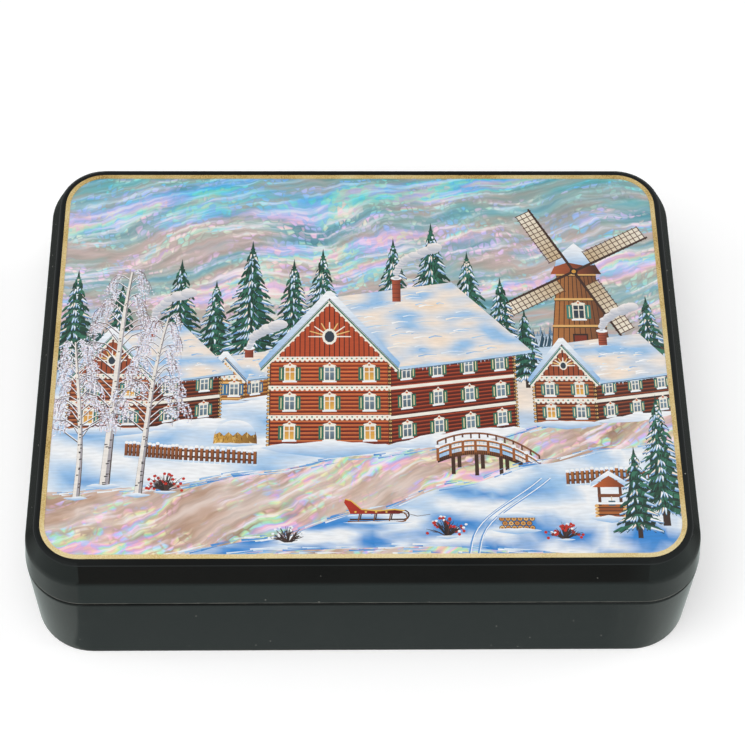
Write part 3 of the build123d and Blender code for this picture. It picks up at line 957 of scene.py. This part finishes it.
# A birch in hoar frost: white trunk with dark marks, limbs that rise and twigs that droop, all frosted
def birch(u, v, high, lean, thick):
    def trunk(t):
        return (u + lean * t * t + 0.5 * math.sin(5 * t), v + high * t)

    for i in range(30):
        t = 0.34 + 0.64 * i / 29
        side = 1 if i % 2 else -1
        length = high * rng.uniform(0.15, 0.26) * (1.25 - t)
        turn = side * rng.uniform(0.5, 1.0)
        start = trunk(t)
        bend = (start[0] + length * 0.6 * math.sin(turn), start[1] + length * 0.6 * math.cos(turn))
        droop = turn * 1.5
        tip = (bend[0] + length * 0.5 * math.sin(droop), bend[1] + length * 0.35 * math.cos(droop))
        for _ in range(9):
            s = rng.uniform(0.2, 1.0)
            au = bend[0] + (tip[0] - bend[0]) * s
            av = bend[1] + (tip[1] - bend[1]) * s
            drop = high * rng.uniform(0.03, 0.1)
            out = side * rng.uniform(0.2, 0.5) * drop
            hang = [(au, av), (au + out * 0.7, av - drop * 0.25), (au + out, av - drop * 0.65)]
            hang.append((au + out * 1.05, av - drop))
            stroke(hang, 0.24, rng.choice(("#b9a9b4", "#8d7f88", "#d8cfd8", "#6e5a58")), 0.5)
            for _ in range(6):
                reach = rng.uniform(0.0, 1.0)
                fu = au + out * min(1.0, 1.3 * reach) + rng.uniform(-0.7, 0.7)
                frost = rng.choice(("#fbfaff", "#eef2fb", "#dfe6f6", "#f3e6f0", "#cfd9ee"))
                dab(fu, av - drop * reach + rng.uniform(-0.3, 0.5), rng.uniform(0.2, 0.42), 0.22, frost, 5)
        stroke([start, bend, tip], thick * 0.32 * (1.25 - t), "#4a3833", 0.3)
        stroke([(a, b + 0.25) for a, b in (start, bend, tip)], 0.3, "#f6f5fa", 0.5)
    line = [trunk(i / 10) for i in range(11)]
    stroke([(a + thick * 0.06, b) for a, b in line], thick * 1.18, "#4a3a36", 0.2)
    stroke(line, thick, "#efe9e2", 0.2)
    stroke([(a + thick * 0.28, b) for a, b in line], thick * 0.4, "#a8a3a8", 0.1)
    for _ in range(26):
        t = rng.random() ** 1.3 * 0.85
        a, b = trunk(t)
        half = thick * (1 - 0.8 * t) * 0.5
        s = rng.uniform(-1, 0.6)
        stroke([(a + half * s, b), (a + half * min(1, s + 0.8), b + 0.1)], 0.45, "#2a211f", 0.5)
    drift(u - thick * 2, v, thick * 4, thick * 0.5)


# A plank bridge on piles, arched over the ice
def plank_bridge(start, end, arch, ice):
    def deck(t, up=0.0):
        level = start[1] + (end[1] - start[1]) * t + arch * 4 * t * (1 - t)
        return (start[0] + (end[0] - start[0]) * t, level + up)

    steps = [i / 24 for i in range(25)]
    far_side = 3.2
    for t in (0.15, 0.38, 0.62, 0.85):
        for shift, lift in ((1.8, far_side), (0.0, 0.0)):
            pile_u, pile_v = deck(t, lift)
            foot = min(pile_v - 1.5, ice(t) + lift * 0.7)
            stroke([(pile_u + shift, pile_v), (pile_u + shift, foot)], 1.15, "#3f281d", 1.0)
    stroke([deck(t, far_side + 2.6) for t in steps], 0.6, "#8a5330", 1.0)
    for t in steps[::2]:
        stroke([deck(t, far_side), deck(t, far_side + 2.7)], 0.5, "#5e3520", 1.0)
    lay([deck(t) for t in steps] + [deck(t, far_side) for t in steps[::-1]], roof_snow)
    for t in steps[1:-1]:
        stroke([deck(t, 0.2), deck(t, far_side)], 0.2, "#9fb9d3", 1.0)
    beam = [deck(t, -1.5) for t in steps] + [deck(t) for t in steps[::-1]]
    lay(beam, rising("#3f2318", "#b06a34", start[1], start[1] + arch))
    for t in [i / 48 for i in range(49)]:
        stroke([deck(t, -1.4), deck(t, -0.1)], 0.2, "#2c1811", 1.0)
    for lift in (1.7, 3.5):
        stroke([deck(t, lift) for t in steps], 0.7, "#c07a3c", 1.0)
        stroke([deck(t, lift - 0.4) for t in steps], 0.2, INK, 1.0)
        stroke([deck(t, lift + 0.35) for t in steps], 0.4, "#f7f9fb", 1.0)
    for t in steps[::3]:
        stroke([deck(t, -0.8), deck(t, 4.0)], 0.85, "#9a5a2c", 0.9)
        cap = deck(t, 4.1)
        dab(cap[0], cap[1], 0.8, 0.6, "#f7f9fb", 8)


# A draw well under a small roof
def draw_well(u, v):
    for i in range(4):
        box(u - 4, v + i * 1.15, 8, 1.1, "#a9602c" if i % 2 else "#8f4a22")
        stroke([(u - 4, v + i * 1.15), (u + 4, v + i * 1.15)], 0.25, INK, 1.0)
        for s in (-1, 1):
            dab(u + s * 4.1, v + i * 1.15 + 0.55, 0.65, 0.55, "#e2b06a", 7)
    for s in (-1, 1):
        stroke([(u + s * 3.1, v + 4), (u + s * 3.1, v + 11)], 0.9, "#5e3520", 1.0)
    stroke([(u - 3.6, v + 7.4), (u + 4.4, v + 7.4)], 1.1, "#7a4526", 1.0)
    stroke([(u + 0.4, v + 7.2), (u + 0.4, v + 4.6)], 0.25, "#d9c9a8", 1.0)
    box(u - 0.6, v + 4.0, 2.0, 1.7, "#46606e")
    gable = [(u - 5, v + 10.2), (u + 5, v + 10.2), (u, v + 14)]
    lay(gable, fade("#c8642a", "#6b2f18", (u - 5, v), (u + 5, v)))
    snow_cap = ((-5.6, 10.4), (0, 14), (5.6, 10.4), (5.2, 12), (0, 15.8), (-5.2, 12))
    lay([(u + a, v + b) for a, b in snow_cap], rising("#9cc5ea", "#fbfcfd", v + 10, v + 14.6))
    box(u - 4, v + 4.5, 8, 0.7, "#f7f9fb")
    drift(u - 6, v - 0.2, 12, 1.6)


# A stack of split logs, cut ends to the front, under snow
def log_pile(u, v, across, rows):
    for j in range(rows):
        for i in range(across - j % 2):
            lu, lv = u + 1.75 * (i + 0.5 * (j % 2)), v + 0.85 + 1.5 * j
            dab(lu, lv, 0.92, 0.88, "#3a2015", 9)
            dab(lu, lv, 0.74, 0.7, rng.choice(("#d9a45e", "#e6bb7c", "#c88a48")), 9)
            dab(lu, lv, 0.34, 0.32, "#a8682f", 7)
    top = v + 1.5 * rows + 0.4
    crest = []
    for i in range(11):
        t = i / 10
        crest.append((u - 1.4 + (1.75 * across + 1.2) * t, top + 1.1 * math.sin(math.pi * t) ** 0.5))
    hem = [(u + 1.75 * across - 0.6, top - 0.7), (u - 1.0, top - 0.7)]
    lay(crest + hem, rising("#8fbde8", "#fbfcfd", top - 0.8, top + 0.8))
    drift(u - 3, v, 1.75 * across + 4, 1.4)


# A light sledge with curled runners, its body painted red with gold edges
def sledge(u, v, size):
    def at(x, y):
        return (u + size * x, v + size * y)

    for lift, shift, tone in ((0.05, 0.04, "#3a2015"), (0.0, 0.0, "#7a4a22")):
        runner = [at(shift - 0.05, lift), at(0.5 + shift, lift)]
        for turn in (0.0, 0.7, 1.4, 2.1, 2.8, 3.5):
            runner.append(at(1.0 + 0.1 * math.sin(turn) + shift, 0.1 - 0.1 * math.cos(turn) + lift))
        stroke(runner, size * 0.035, tone, 0.7)
        for x in (0.15, 0.45, 0.75):
            stroke([at(x + shift, lift), at(x + shift + 0.03, 0.17 + lift)], size * 0.025, tone, 1.0)
    body = [(0.0, 0.17), (0.95, 0.17), (1.05, 0.24), (0.86, 0.27), (0.55, 0.24), (0.22, 0.27), (0.02, 0.46)]
    body += [(-0.1, 0.5), (-0.12, 0.42), (-0.04, 0.28)]
    lay([at(*c) for c in body], fade("#b5301f", "#6a170f", at(0, 0.5), at(0.8, 0.15)))
    edge = [at(*c) for c in body[2:8]]
    stroke(edge, size * 0.028, "#e9c05a", 0.9)
    for x in (0.1, 0.3, 0.5, 0.7):
        dab(*at(x, 0.215), size * 0.025, size * 0.022, "#e9c05a", 6)
    stroke([at(1.04, 0.2), at(1.3, 0.12), at(1.55, 0.16)], size * 0.012, "#4a2f1a", 0.8)
    drift(u - size * 0.15, v - 0.3, size * 1.35, size * 0.05)


# Far hamlet and the mill on its hill
far_huts = ((-88, -1.5, 4.6), (-79, 0.5, 3.6), (-38, 0, 3.4), (16, -1, 4.2), (27, 0.5, 3.4), (84, 1, 4.4))
for hut_u, hut_v, size in far_huts:
    wall = rng.choice(("#8f4a2a", "#a5612f", "#7d3c26"))
    small_hut(hut_u, hut_v, size, wall, rising("#a9cbea", "#fbfcfd", hut_v, hut_v + size))
motif = "painted_mill"
mill_hill = between([(36, -14), (52, -5), (66, 0.5), (80, -2), (93, -8)])
ground_between(mill_hill, lambda u: -17.0, 36, EDGE, snow, 5)
windmill(67, -0.5, 31)

motif = "painted_forest"
for fir_u, fir_v, high, wide in (
    (-88, -8, 40, 9.5), (-74, -7, 34, 8.0), (-56, -8, 44, 10.5), (-45, -6, 34, 8.0), (-34, -9, 52, 12.0),
    (-21, -6, 42, 9.5), (-12, -7, 47, 10.5), (10, -6, 50, 11.0), (22, -8, 58, 13.0), (33, -7, 46, 10.5),
    (43, -9, 38, 9.0), (50, -11, 28, 7.0), (88, -12, 34, 8.5),
):
    fir(fir_u, fir_v, high, wide)

motif = "painted_village"
OCHRE_LOGS = ("#d99a45", "#a9662c", "#5a3018", "#f0c47a")
RED_LOGS = ("#b84c28", "#7f2b19", "#38120c", "#dc7f48")
BROWN_LOGS = ("#9c4a28", "#662c1b", "#2b130d", "#c87a48")
top = cottage(-47, -16, 11, 8.5, 7, 13, OCHRE_LOGS, "#f3eee2", "#2f6f9c", (2, 2))
smoke(top[0], top[1], 11)
top = cottage(-88, -26, 24, 19, 15, 21, BROWN_LOGS, "#f3eee2", "#2f7f77", (2, 2), storeys=2)
smoke(top[0], top[1], 13)
top = cottage(52, -24, 18, 16, 12, 24, BROWN_LOGS, "#f3eee2", "#2f7f77", (2, 3), storeys=2)
smoke(top[0], top[1], 12)
top = cottage(-28, -32, 36, 31, 22, 38, RED_LOGS, "#f6f1e4", "#1f6d58", (3, 4), storeys=3)
smoke(top[0], top[1], 16)
hay(-38, -31, 6.5, 8)
picket_fence([(-70, -35), (-54, -36.5), (-32, -38)], 28, 5.0, "#a8622f")

motif = "painted_bridge"
plank_bridge((22, -36), (52, -41), 5.0, lambda t: -41 - 2 * t)

motif = "painted_near_bank"


# Snow on the near bank, with deep blue hollows
def near_snow(u, v):
    hollow = noise.noise(Vector((u / 15, v / 5.0, 13.1)))
    fine = noise.noise(Vector((u / 5, v / 1.8, 2.4)))
    tone = mixed(SNOW, SNOW_BLUE, 0.5 - hollow * 1.4 + fine * 0.5)
    return mixed(tone, linear("#3487d2"), -hollow * 1.9 - 0.2 + fine * 0.5 - (v + 52) / 16)


near_foot = between([(-62, -69.5), (-20, -66), (20, -65), (50, -67), (93, -71)])
ground_between(near_shore, near_foot, -58, EDGE, near_snow, 10)
shore_strokes(near_shore, -58, EDGE - 1, 120, -1.0)
shore_strokes(near_foot, -60, 60, 130, 1.6)
for shift in (0.0, 2.6):
    track = [(52 + shift - 2.2 * i - 0.5 * i * math.sin(i / 3), -43 - 2.1 * i) for i in range(13)]
    stroke(track, 0.8, "#5f9ad6", 0.9)
    stroke([(a + 0.3, b + 0.3) for a, b in track], 0.3, "#f7f9fb", 0.9)
picket_fence([(60, -45), (76, -44), (94, -46)], 22, 5.0, "#b8702f")
draw_well(72, -56)
log_pile(40, -60, 6, 3)
sledge(-4, -57, 15)
for bush_u, bush_v, size, red in ((24, -62, 7, True), (-22, -64, 6, False), (58, -63, 6, True)):
    bush(bush_u, bush_v, size, red)

motif = "painted_near_trees"
fir(88, -58, 44, 9.5)
fir(80, -62, 30, 7.5)
birch(-76, -45, 76, 5.0, 2.6)
birch(-66, -48, 62, 7.0, 2.0)
birch(-84, -49, 54, -3.0, 1.8)
bush(-58, -47, 7, True)


# The window inside the gold line, then the film: every patch cut along the others' edges, and on each
# spot only the paint that went on last. The film tucks in just short of the gold.
GOLD_INSET, GOLD_WIDTH = 6.2, 1.4
TUCK = 0.05
CORNER_STEPS = 12
CLOSE, STRAIGHT = 1e-5, 1e-4
half_u = HALF_WIDTH - GOLD_INSET - GOLD_WIDTH - TUCK
half_v = HALF_DEPTH - GOLD_INSET - GOLD_WIDTH - TUCK
radius = CORNER_RADIUS - GOLD_INSET - GOLD_WIDTH - TUCK
window = []
for quarter, (su, sv) in enumerate(((1, 1), (-1, 1), (-1, -1), (1, -1))):
    for i in range(CORNER_STEPS + 1):
        turn = math.pi / 2 * (quarter + i / CORNER_STEPS)
        corner_u = su * (half_u - radius) + radius * math.cos(turn)
        window.append((corner_u, sv * (half_v - radius) + radius * math.sin(turn)))
points, rings = [], []
for ring in [window] + [patch[0] for patch in patches]:
    rings.append(list(range(len(points), len(points) + len(ring))))
    points += [Vector(p) for p in ring]
cuts, _, pieces, _, _, owners = delaunay_2d_cdt(points, [], rings, 1, CLOSE, True)
tops = numpy.array([max(owner) if 0 in owner else 0 for owner in owners])

# Only the edges where the paint changes are kept, and of those only the points where they bend or meet
corners = numpy.array(pieces)
ends = numpy.stack([corners, numpy.roll(corners, -1, axis=1)], axis=-1).reshape(-1, 2)
ends.sort(axis=1)
keys = ends[:, 0] * len(cuts) + ends[:, 1]
order = numpy.argsort(keys)
lines, first, count = numpy.unique(keys[order], return_index=True, return_counts=True)
beside = numpy.repeat(tops, 3)[order]
least, most = numpy.minimum.reduceat(beside, first), numpy.maximum.reduceat(beside, first)
neighbours = {}
for line in lines[(least != most) | ((count == 1) & (most > 0))].tolist():
    a, b = divmod(line, len(cuts))
    neighbours.setdefault(a, set()).add(b)
    neighbours.setdefault(b, set()).add(a)
for i in list(neighbours):
    if len(neighbours[i]) == 2:
        a, b = neighbours[i]
        across = cuts[b] - cuts[a]
        off = abs(across.cross(cuts[i] - cuts[a])) / (across.length or 1.0)
        if off < STRAIGHT and b not in neighbours[a]:
            for one, other in ((a, b), (b, a)):
                neighbours[one].remove(i)
                neighbours[one].add(other)
            del neighbours[i]
place = {i: k for k, i in enumerate(neighbours)}
edges = [(place[a], place[b]) for a, others in neighbours.items() for b in others if a < b]
spots, _, cells, _, _, _ = delaunay_2d_cdt([cuts[i] for i in place], edges, [], 0, CLOSE, False)
finder = BVHTree.FromPolygons([(u, v, 0) for u, v in cuts], pieces)
films = {}
for cell in cells:
    middle = sum((spots[i] for i in cell), Vector((0, 0))) / 3
    below = finder.ray_cast((middle.x, middle.y, 1), (0, 0, -1))[2]
    if below is not None and tops[below] > 0:
        _, colour, name = patches[tops[below] - 1]
        films.setdefault(name, []).append((cell, colour))


# Oil paint: fine brush marks from side to side, under a coat of clear lacquer polished to a mirror
BRUSH_LENGTH, BRUSH_WIDTH = 4, 0.7
paint, tree = new_material("oil_paint_under_lacquer")
pigment = add(tree, "VertexColor", layer_name="paint").outputs[0]
mm = place_in_mm(tree)
marks = {0: mm, 1: (1 / BRUSH_LENGTH, 1 / BRUSH_WIDTH, 0)}
bristle_at = add(tree, "VectorMath", marks, operation="MULTIPLY").outputs[0]
bristle = add(tree, "TexNoise", {"Vector": bristle_at, "Scale": 1.0, "Detail": 3.0}).outputs[0]
body = add(tree, "MapRange", {0: bristle, 1: 0.3, 2: 0.7, 3: 0.9, 4: 1.06}).outputs[0]
colour = add(tree, "VectorMath", {0: pigment, "Scale": body}, operation="SCALE").outputs[0]
shader = add(tree, "BsdfPrincipled", {"Base Color": colour, "Roughness": 0.45})
shader.inputs["Coat Weight"].default_value = 1.0
shader.inputs["Coat Roughness"].default_value = 0.04
add(tree, "OutputMaterial", {"Surface": shader.outputs[0]})

FILM_LIFT = 0.03
FILM_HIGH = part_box("shell_veneer")[1][2] + FILM_LIFT * MM
for name, parts in films.items():
    used = {}
    triangles, tints = [], []
    for cell, colour in parts:
        triangles.append([used.setdefault(i, len(used)) for i in cell])
        for i in cell:
            tints += colour(*spots[i])
    low, high = [[edge(spots[i][axis] for i in used) for axis in (0, 1)] for edge in (min, max)]
    flat_places = []
    for cell, _ in parts:
        for i in cell:
            flat_places += [(spots[i][axis] - low[axis]) / (high[axis] - low[axis]) for axis in (0, 1)]
    mesh = bpy.data.meshes.new(name)
    mesh.from_pydata([(spots[i][0] * MM, spots[i][1] * MM, FILM_HIGH) for i in used], [], triangles)
    mesh.color_attributes.new("paint", "FLOAT_COLOR", "CORNER").data.foreach_set("color", tints)
    mesh.uv_layers.new(name="OFBake").data.foreach_set("uv", flat_places)
    mesh.materials.append(paint)
    film = new_object(name, mesh)
    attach(film, "lid")
    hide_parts("picture_film")


# Gold line: gold powder in varnish, drawn with a ruling pen and lacquered over. The CAD ring keeps its
# shape. The powder lies unevenly, so the line is grainy, with pits half a millimetre across, drawn coarser
# than real ones so that they show, and with darker stretches.
GOLD_GRAIN, GOLD_STRETCH = 0.45, 14
gold, tree = new_material("gold_powder_line")
mm = place_in_mm(tree)
grain = add(tree, "TexNoise", {"Vector": mm, "Scale": 1 / GOLD_GRAIN, "Detail": 3.0}).outputs[0]
patch_tone = add(tree, "TexNoise", {"Vector": mm, "Scale": 1 / GOLD_STRETCH, "Detail": 2.0}).outputs[0]
both = add(tree, "Math", {0: grain, 1: patch_tone}, operation="ADD").outputs[0]
half = add(tree, "Math", {0: both, 1: 0.5}, operation="MULTIPLY").outputs[0]
# Painted highlight: the line is painted paler along the front
v_place = add(tree, "SeparateXYZ", {0: mm}).outputs[1]
front_highlight_span = {0: v_place, 1: -HALF_DEPTH + 8, 2: -HALF_DEPTH + 22, 3: 0.16, 4: 0.0}
# How much paler the painted highlight makes the front, fading out 22 mm in from the front edge
thick = add(tree, "MapRange", front_highlight_span).outputs[0]
grain_and_front_highlight = add(tree, "Math", {0: half, 1: thick}, operation="ADD").outputs[0]
gold_tones = [(0.36, "#a98443"), (0.46, "#d9b972"), (0.6, "#efd79a"), (0.74, "#fdebb8")]
tone = add(tree, "ValToRGB", {0: grain_and_front_highlight}, gold_tones).outputs[0]
shader = add(tree, "BsdfPrincipled", {"Base Color": tone, "Roughness": 0.5, "Metallic": 0.35})
shader.inputs["Coat Weight"].default_value = 1.0
shader.inputs["Coat Roughness"].default_value = 0.05
add(tree, "OutputMaterial", {"Surface": shader.outputs[0]})
give_material("gold_line", gold)


# Studio: a pale table that runs out to a white horizon, one large lamp above and a fill from each side.
# Glowing cards laid round the box show only in gloss: painted reflections that keep the polished bevels
# black. The table glows a little to the camera and in gloss, so that it comes out white, and keeps the
# box's shadow.
TABLE_HALF = 3.0
TABLE_GLOW = 0.25
square = ((-1, -1), (1, -1), (1, 1), (-1, 1))
table_mesh = bpy.data.meshes.new("table")
table_mesh.from_pydata([(x * TABLE_HALF, y * TABLE_HALF, 0) for x, y in square], [], [(0, 1, 2, 3)])
table = new_object("table", table_mesh)
cloth, tree = new_material("white_table")
path = add(tree, "LightPath").outputs
seen_in = {0: path["Is Camera Ray"], 1: path["Is Glossy Ray"]}
seen = add(tree, "Math", seen_in, operation="MAXIMUM").outputs[0]
white = add(tree, "BsdfDiffuse", {"Color": linear("#f4f4f4")})
glow = add(tree, "Emission", {"Color": (1, 1, 1, 1), "Strength": TABLE_GLOW})
dark = add(tree, "Emission", {"Strength": 0.0})
lift = add(tree, "MixShader", {0: seen, 1: dark.outputs[0], 2: glow.outputs[0]})
surface = add(tree, "AddShader", {0: white.outputs[0], 1: lift.outputs[0]})
add(tree, "OutputMaterial", {"Surface": surface.outputs[0]})
table_mesh.materials.append(cloth)

# Cards lie round the box and show only in its gloss. In front they are grey, paler a few centimetres off
# and darker beyond; at the corners pale; and along the sides pale, then dark, then grey. The front card
# widens away from the box, and its left end is sharp, its right end soft.
CARD_HALF = 0.7
CARD_HIGH = 0.0005
CARD_REACH = 120.0
FAN = 0.15
card_mesh = bpy.data.meshes.new("studio_cards")
card_mesh.from_pydata([(x * CARD_HALF, y * CARD_HALF, CARD_HIGH) for x, y in square], [], [(0, 1, 2, 3)])
gloss_reflection_glow, tree = new_material("studio_card")
mm = place_in_mm(tree)
axes = add(tree, "SeparateXYZ", {0: mm}).outputs
walls = outline_reach(tree, mm)
away = add(tree, "MapRange", {0: walls, 1: CORNER_RADIUS, 2: CORNER_RADIUS + CARD_REACH}).outputs[0]
front_tones = [(0.0, "#929c9a"), (0.13, "#929c9a"), (0.23, "#aab7b4"), (0.36, "#aab7b4"), (0.85, "#878480")]
front_tone = add(tree, "ValToRGB", {0: away}, front_tones).outputs[0]
side_tones = [(0.0, "#b0bcba"), (0.12, "#b0bcba"), (0.2, "#575b59"), (0.5, "#575b59"), (0.85, "#808280")]
side_tone = add(tree, "ValToRGB", {0: away}, side_tones).outputs[0]
at_side = add(tree, "MapRange", {0: axes[1], 1: -HALF_DEPTH, 2: -HALF_DEPTH + 45}).outputs[0]
around = add(tree, "Mix", {0: at_side, 6: linear("#bcc4c0"), 7: side_tone}, data_type="RGBA").outputs[2]
widened = add(tree, "Math", {0: axes[1], 1: FAN, 2: FAN * HALF_DEPTH}, operation="MULTIPLY_ADD").outputs[0]
FRONT_CARD_HALF = HALF_WIDTH - CORNER_RADIUS + 6
LEFT_SOFT, RIGHT_SOFT = (2, 0), (8, -14)
card_ends = []
for operation, (start, full) in (("SUBTRACT", LEFT_SOFT), ("ADD", RIGHT_SOFT)):
    to_end = add(tree, "Math", {0: widened, 1: axes[0]}, operation=operation).outputs[0]
    end_tones = {0: to_end, 1: FRONT_CARD_HALF + start, 2: FRONT_CARD_HALF + full}
    card_ends.append(add(tree, "MapRange", end_tones).outputs[0])
narrow = add(tree, "Math", {0: card_ends[0], 1: card_ends[1]}, operation="MULTIPLY").outputs[0]
forward = add(tree, "Math", {0: axes[1], 1: -HALF_DEPTH}, operation="LESS_THAN").outputs[0]
in_front = add(tree, "Math", {0: narrow, 1: forward}, operation="MULTIPLY").outputs[0]
tones = add(tree, "Mix", {0: in_front, 6: around, 7: front_tone}, data_type="RGBA").outputs[2]
# Painted reflection: the cards glow with these tones and are seen in gloss alone
shown = add(tree, "Emission", {"Color": tones, "Strength": 1.0})
add(tree, "OutputMaterial", {"Surface": shown.outputs[0]})
card_mesh.materials.append(gloss_reflection_glow)
card = new_object("studio_cards", card_mesh)
card.visible_camera = False
card.visible_diffuse = False
card.visible_shadow = False
card.visible_transmission = False

# The room: light near the horizon and dim above, with windows at both sides that show in gloss alone
world = bpy.data.worlds.new("studio")
world.use_nodes = True
tree = world.node_tree
tree.nodes.clear()
aim = add(tree, "TexCoord").outputs["Generated"]
way = add(tree, "SeparateXYZ", {0: aim}).outputs
room = add(tree, "MapRange", {0: way[2], 1: 0.1, 2: 0.6, 3: 0.7, 4: 0.22}).outputs[0]
aside = add(tree, "Math", {0: way[0]}, operation="ABSOLUTE").outputs[0]
window_light = add(tree, "MapRange", {0: aside, 1: 0.08, 2: 0.18, 3: 0.0, 4: 0.3}).outputs[0]
in_gloss = add(tree, "LightPath").outputs["Is Glossy Ray"]
mixed_light = {0: window_light, 1: in_gloss, 2: room}
level_of_light = add(tree, "Math", mixed_light, operation="MULTIPLY_ADD").outputs[0]
sky_light = add(tree, "Background", {"Color": (1, 1, 1, 1), "Strength": level_of_light})
add(tree, "OutputWorld", {"Surface": sky_light.outputs[0]})
bpy.context.scene.world = world


LAMP_AIM = Vector((0, 0, 0.04))


# Aims a square lamp of soft light at the lid. The lamps don't show in the gloss.
def soft_lamp(name, place, size, watts):
    data = bpy.data.lights.new(name, "AREA")
    data.shape = "SQUARE"
    data.size = size
    data.energy = watts
    lamp = new_object(name, data)
    toward = LAMP_AIM - Vector(place)
    lamp.visible_glossy = False
    lamp.matrix_world = Matrix.Translation(place) @ toward.to_track_quat("-Z", "Y").to_matrix().to_4x4()


soft_lamp("top_lamp", (-0.15, -0.35, 1.25), 0.9, 9.5)
soft_lamp("left_fill", (-1.2, -0.2, 0.7), 0.8, 4.0)
soft_lamp("right_fill", (1.2, 0.1, 0.7), 0.8, 4.0)

# Camera: above and in front of the box, turned and tilted as fitted to the photograph's edges
FOCAL_PIXELS = 2047.94
FRAME_PIXELS = 745
YAW, RISE, ROLL = math.radians(-2.056), math.radians(58.028), math.radians(1.653)
DISTANCE, ASIDE, ABOVE = 0.66564, 0.003826, 0.02127
back = Vector((math.sin(YAW) * math.cos(RISE), -math.cos(YAW) * math.cos(RISE), math.sin(RISE)))
level = Vector((math.cos(YAW), math.sin(YAW), 0))
upright = back.cross(level)
right = math.cos(ROLL) * level + math.sin(ROLL) * upright
up = math.cos(ROLL) * upright - math.sin(ROLL) * level
stand = ASIDE * right + ABOVE * up + DISTANCE * back
lens = bpy.data.cameras.new("camera")
lens.sensor_width = 36.0
lens.lens = lens.sensor_width * FOCAL_PIXELS / FRAME_PIXELS
lens.clip_start = 0.01
camera = new_object("camera", lens)
camera.matrix_world = Matrix((
    (right.x, up.x, back.x, stand.x),
    (right.y, up.y, back.y, stand.y),
    (right.z, up.z, back.z, stand.z),
    (0, 0, 0, 1),
))
bpy.context.scene.camera = camera
bpy.context.scene.view_settings.view_transform = "Standard"
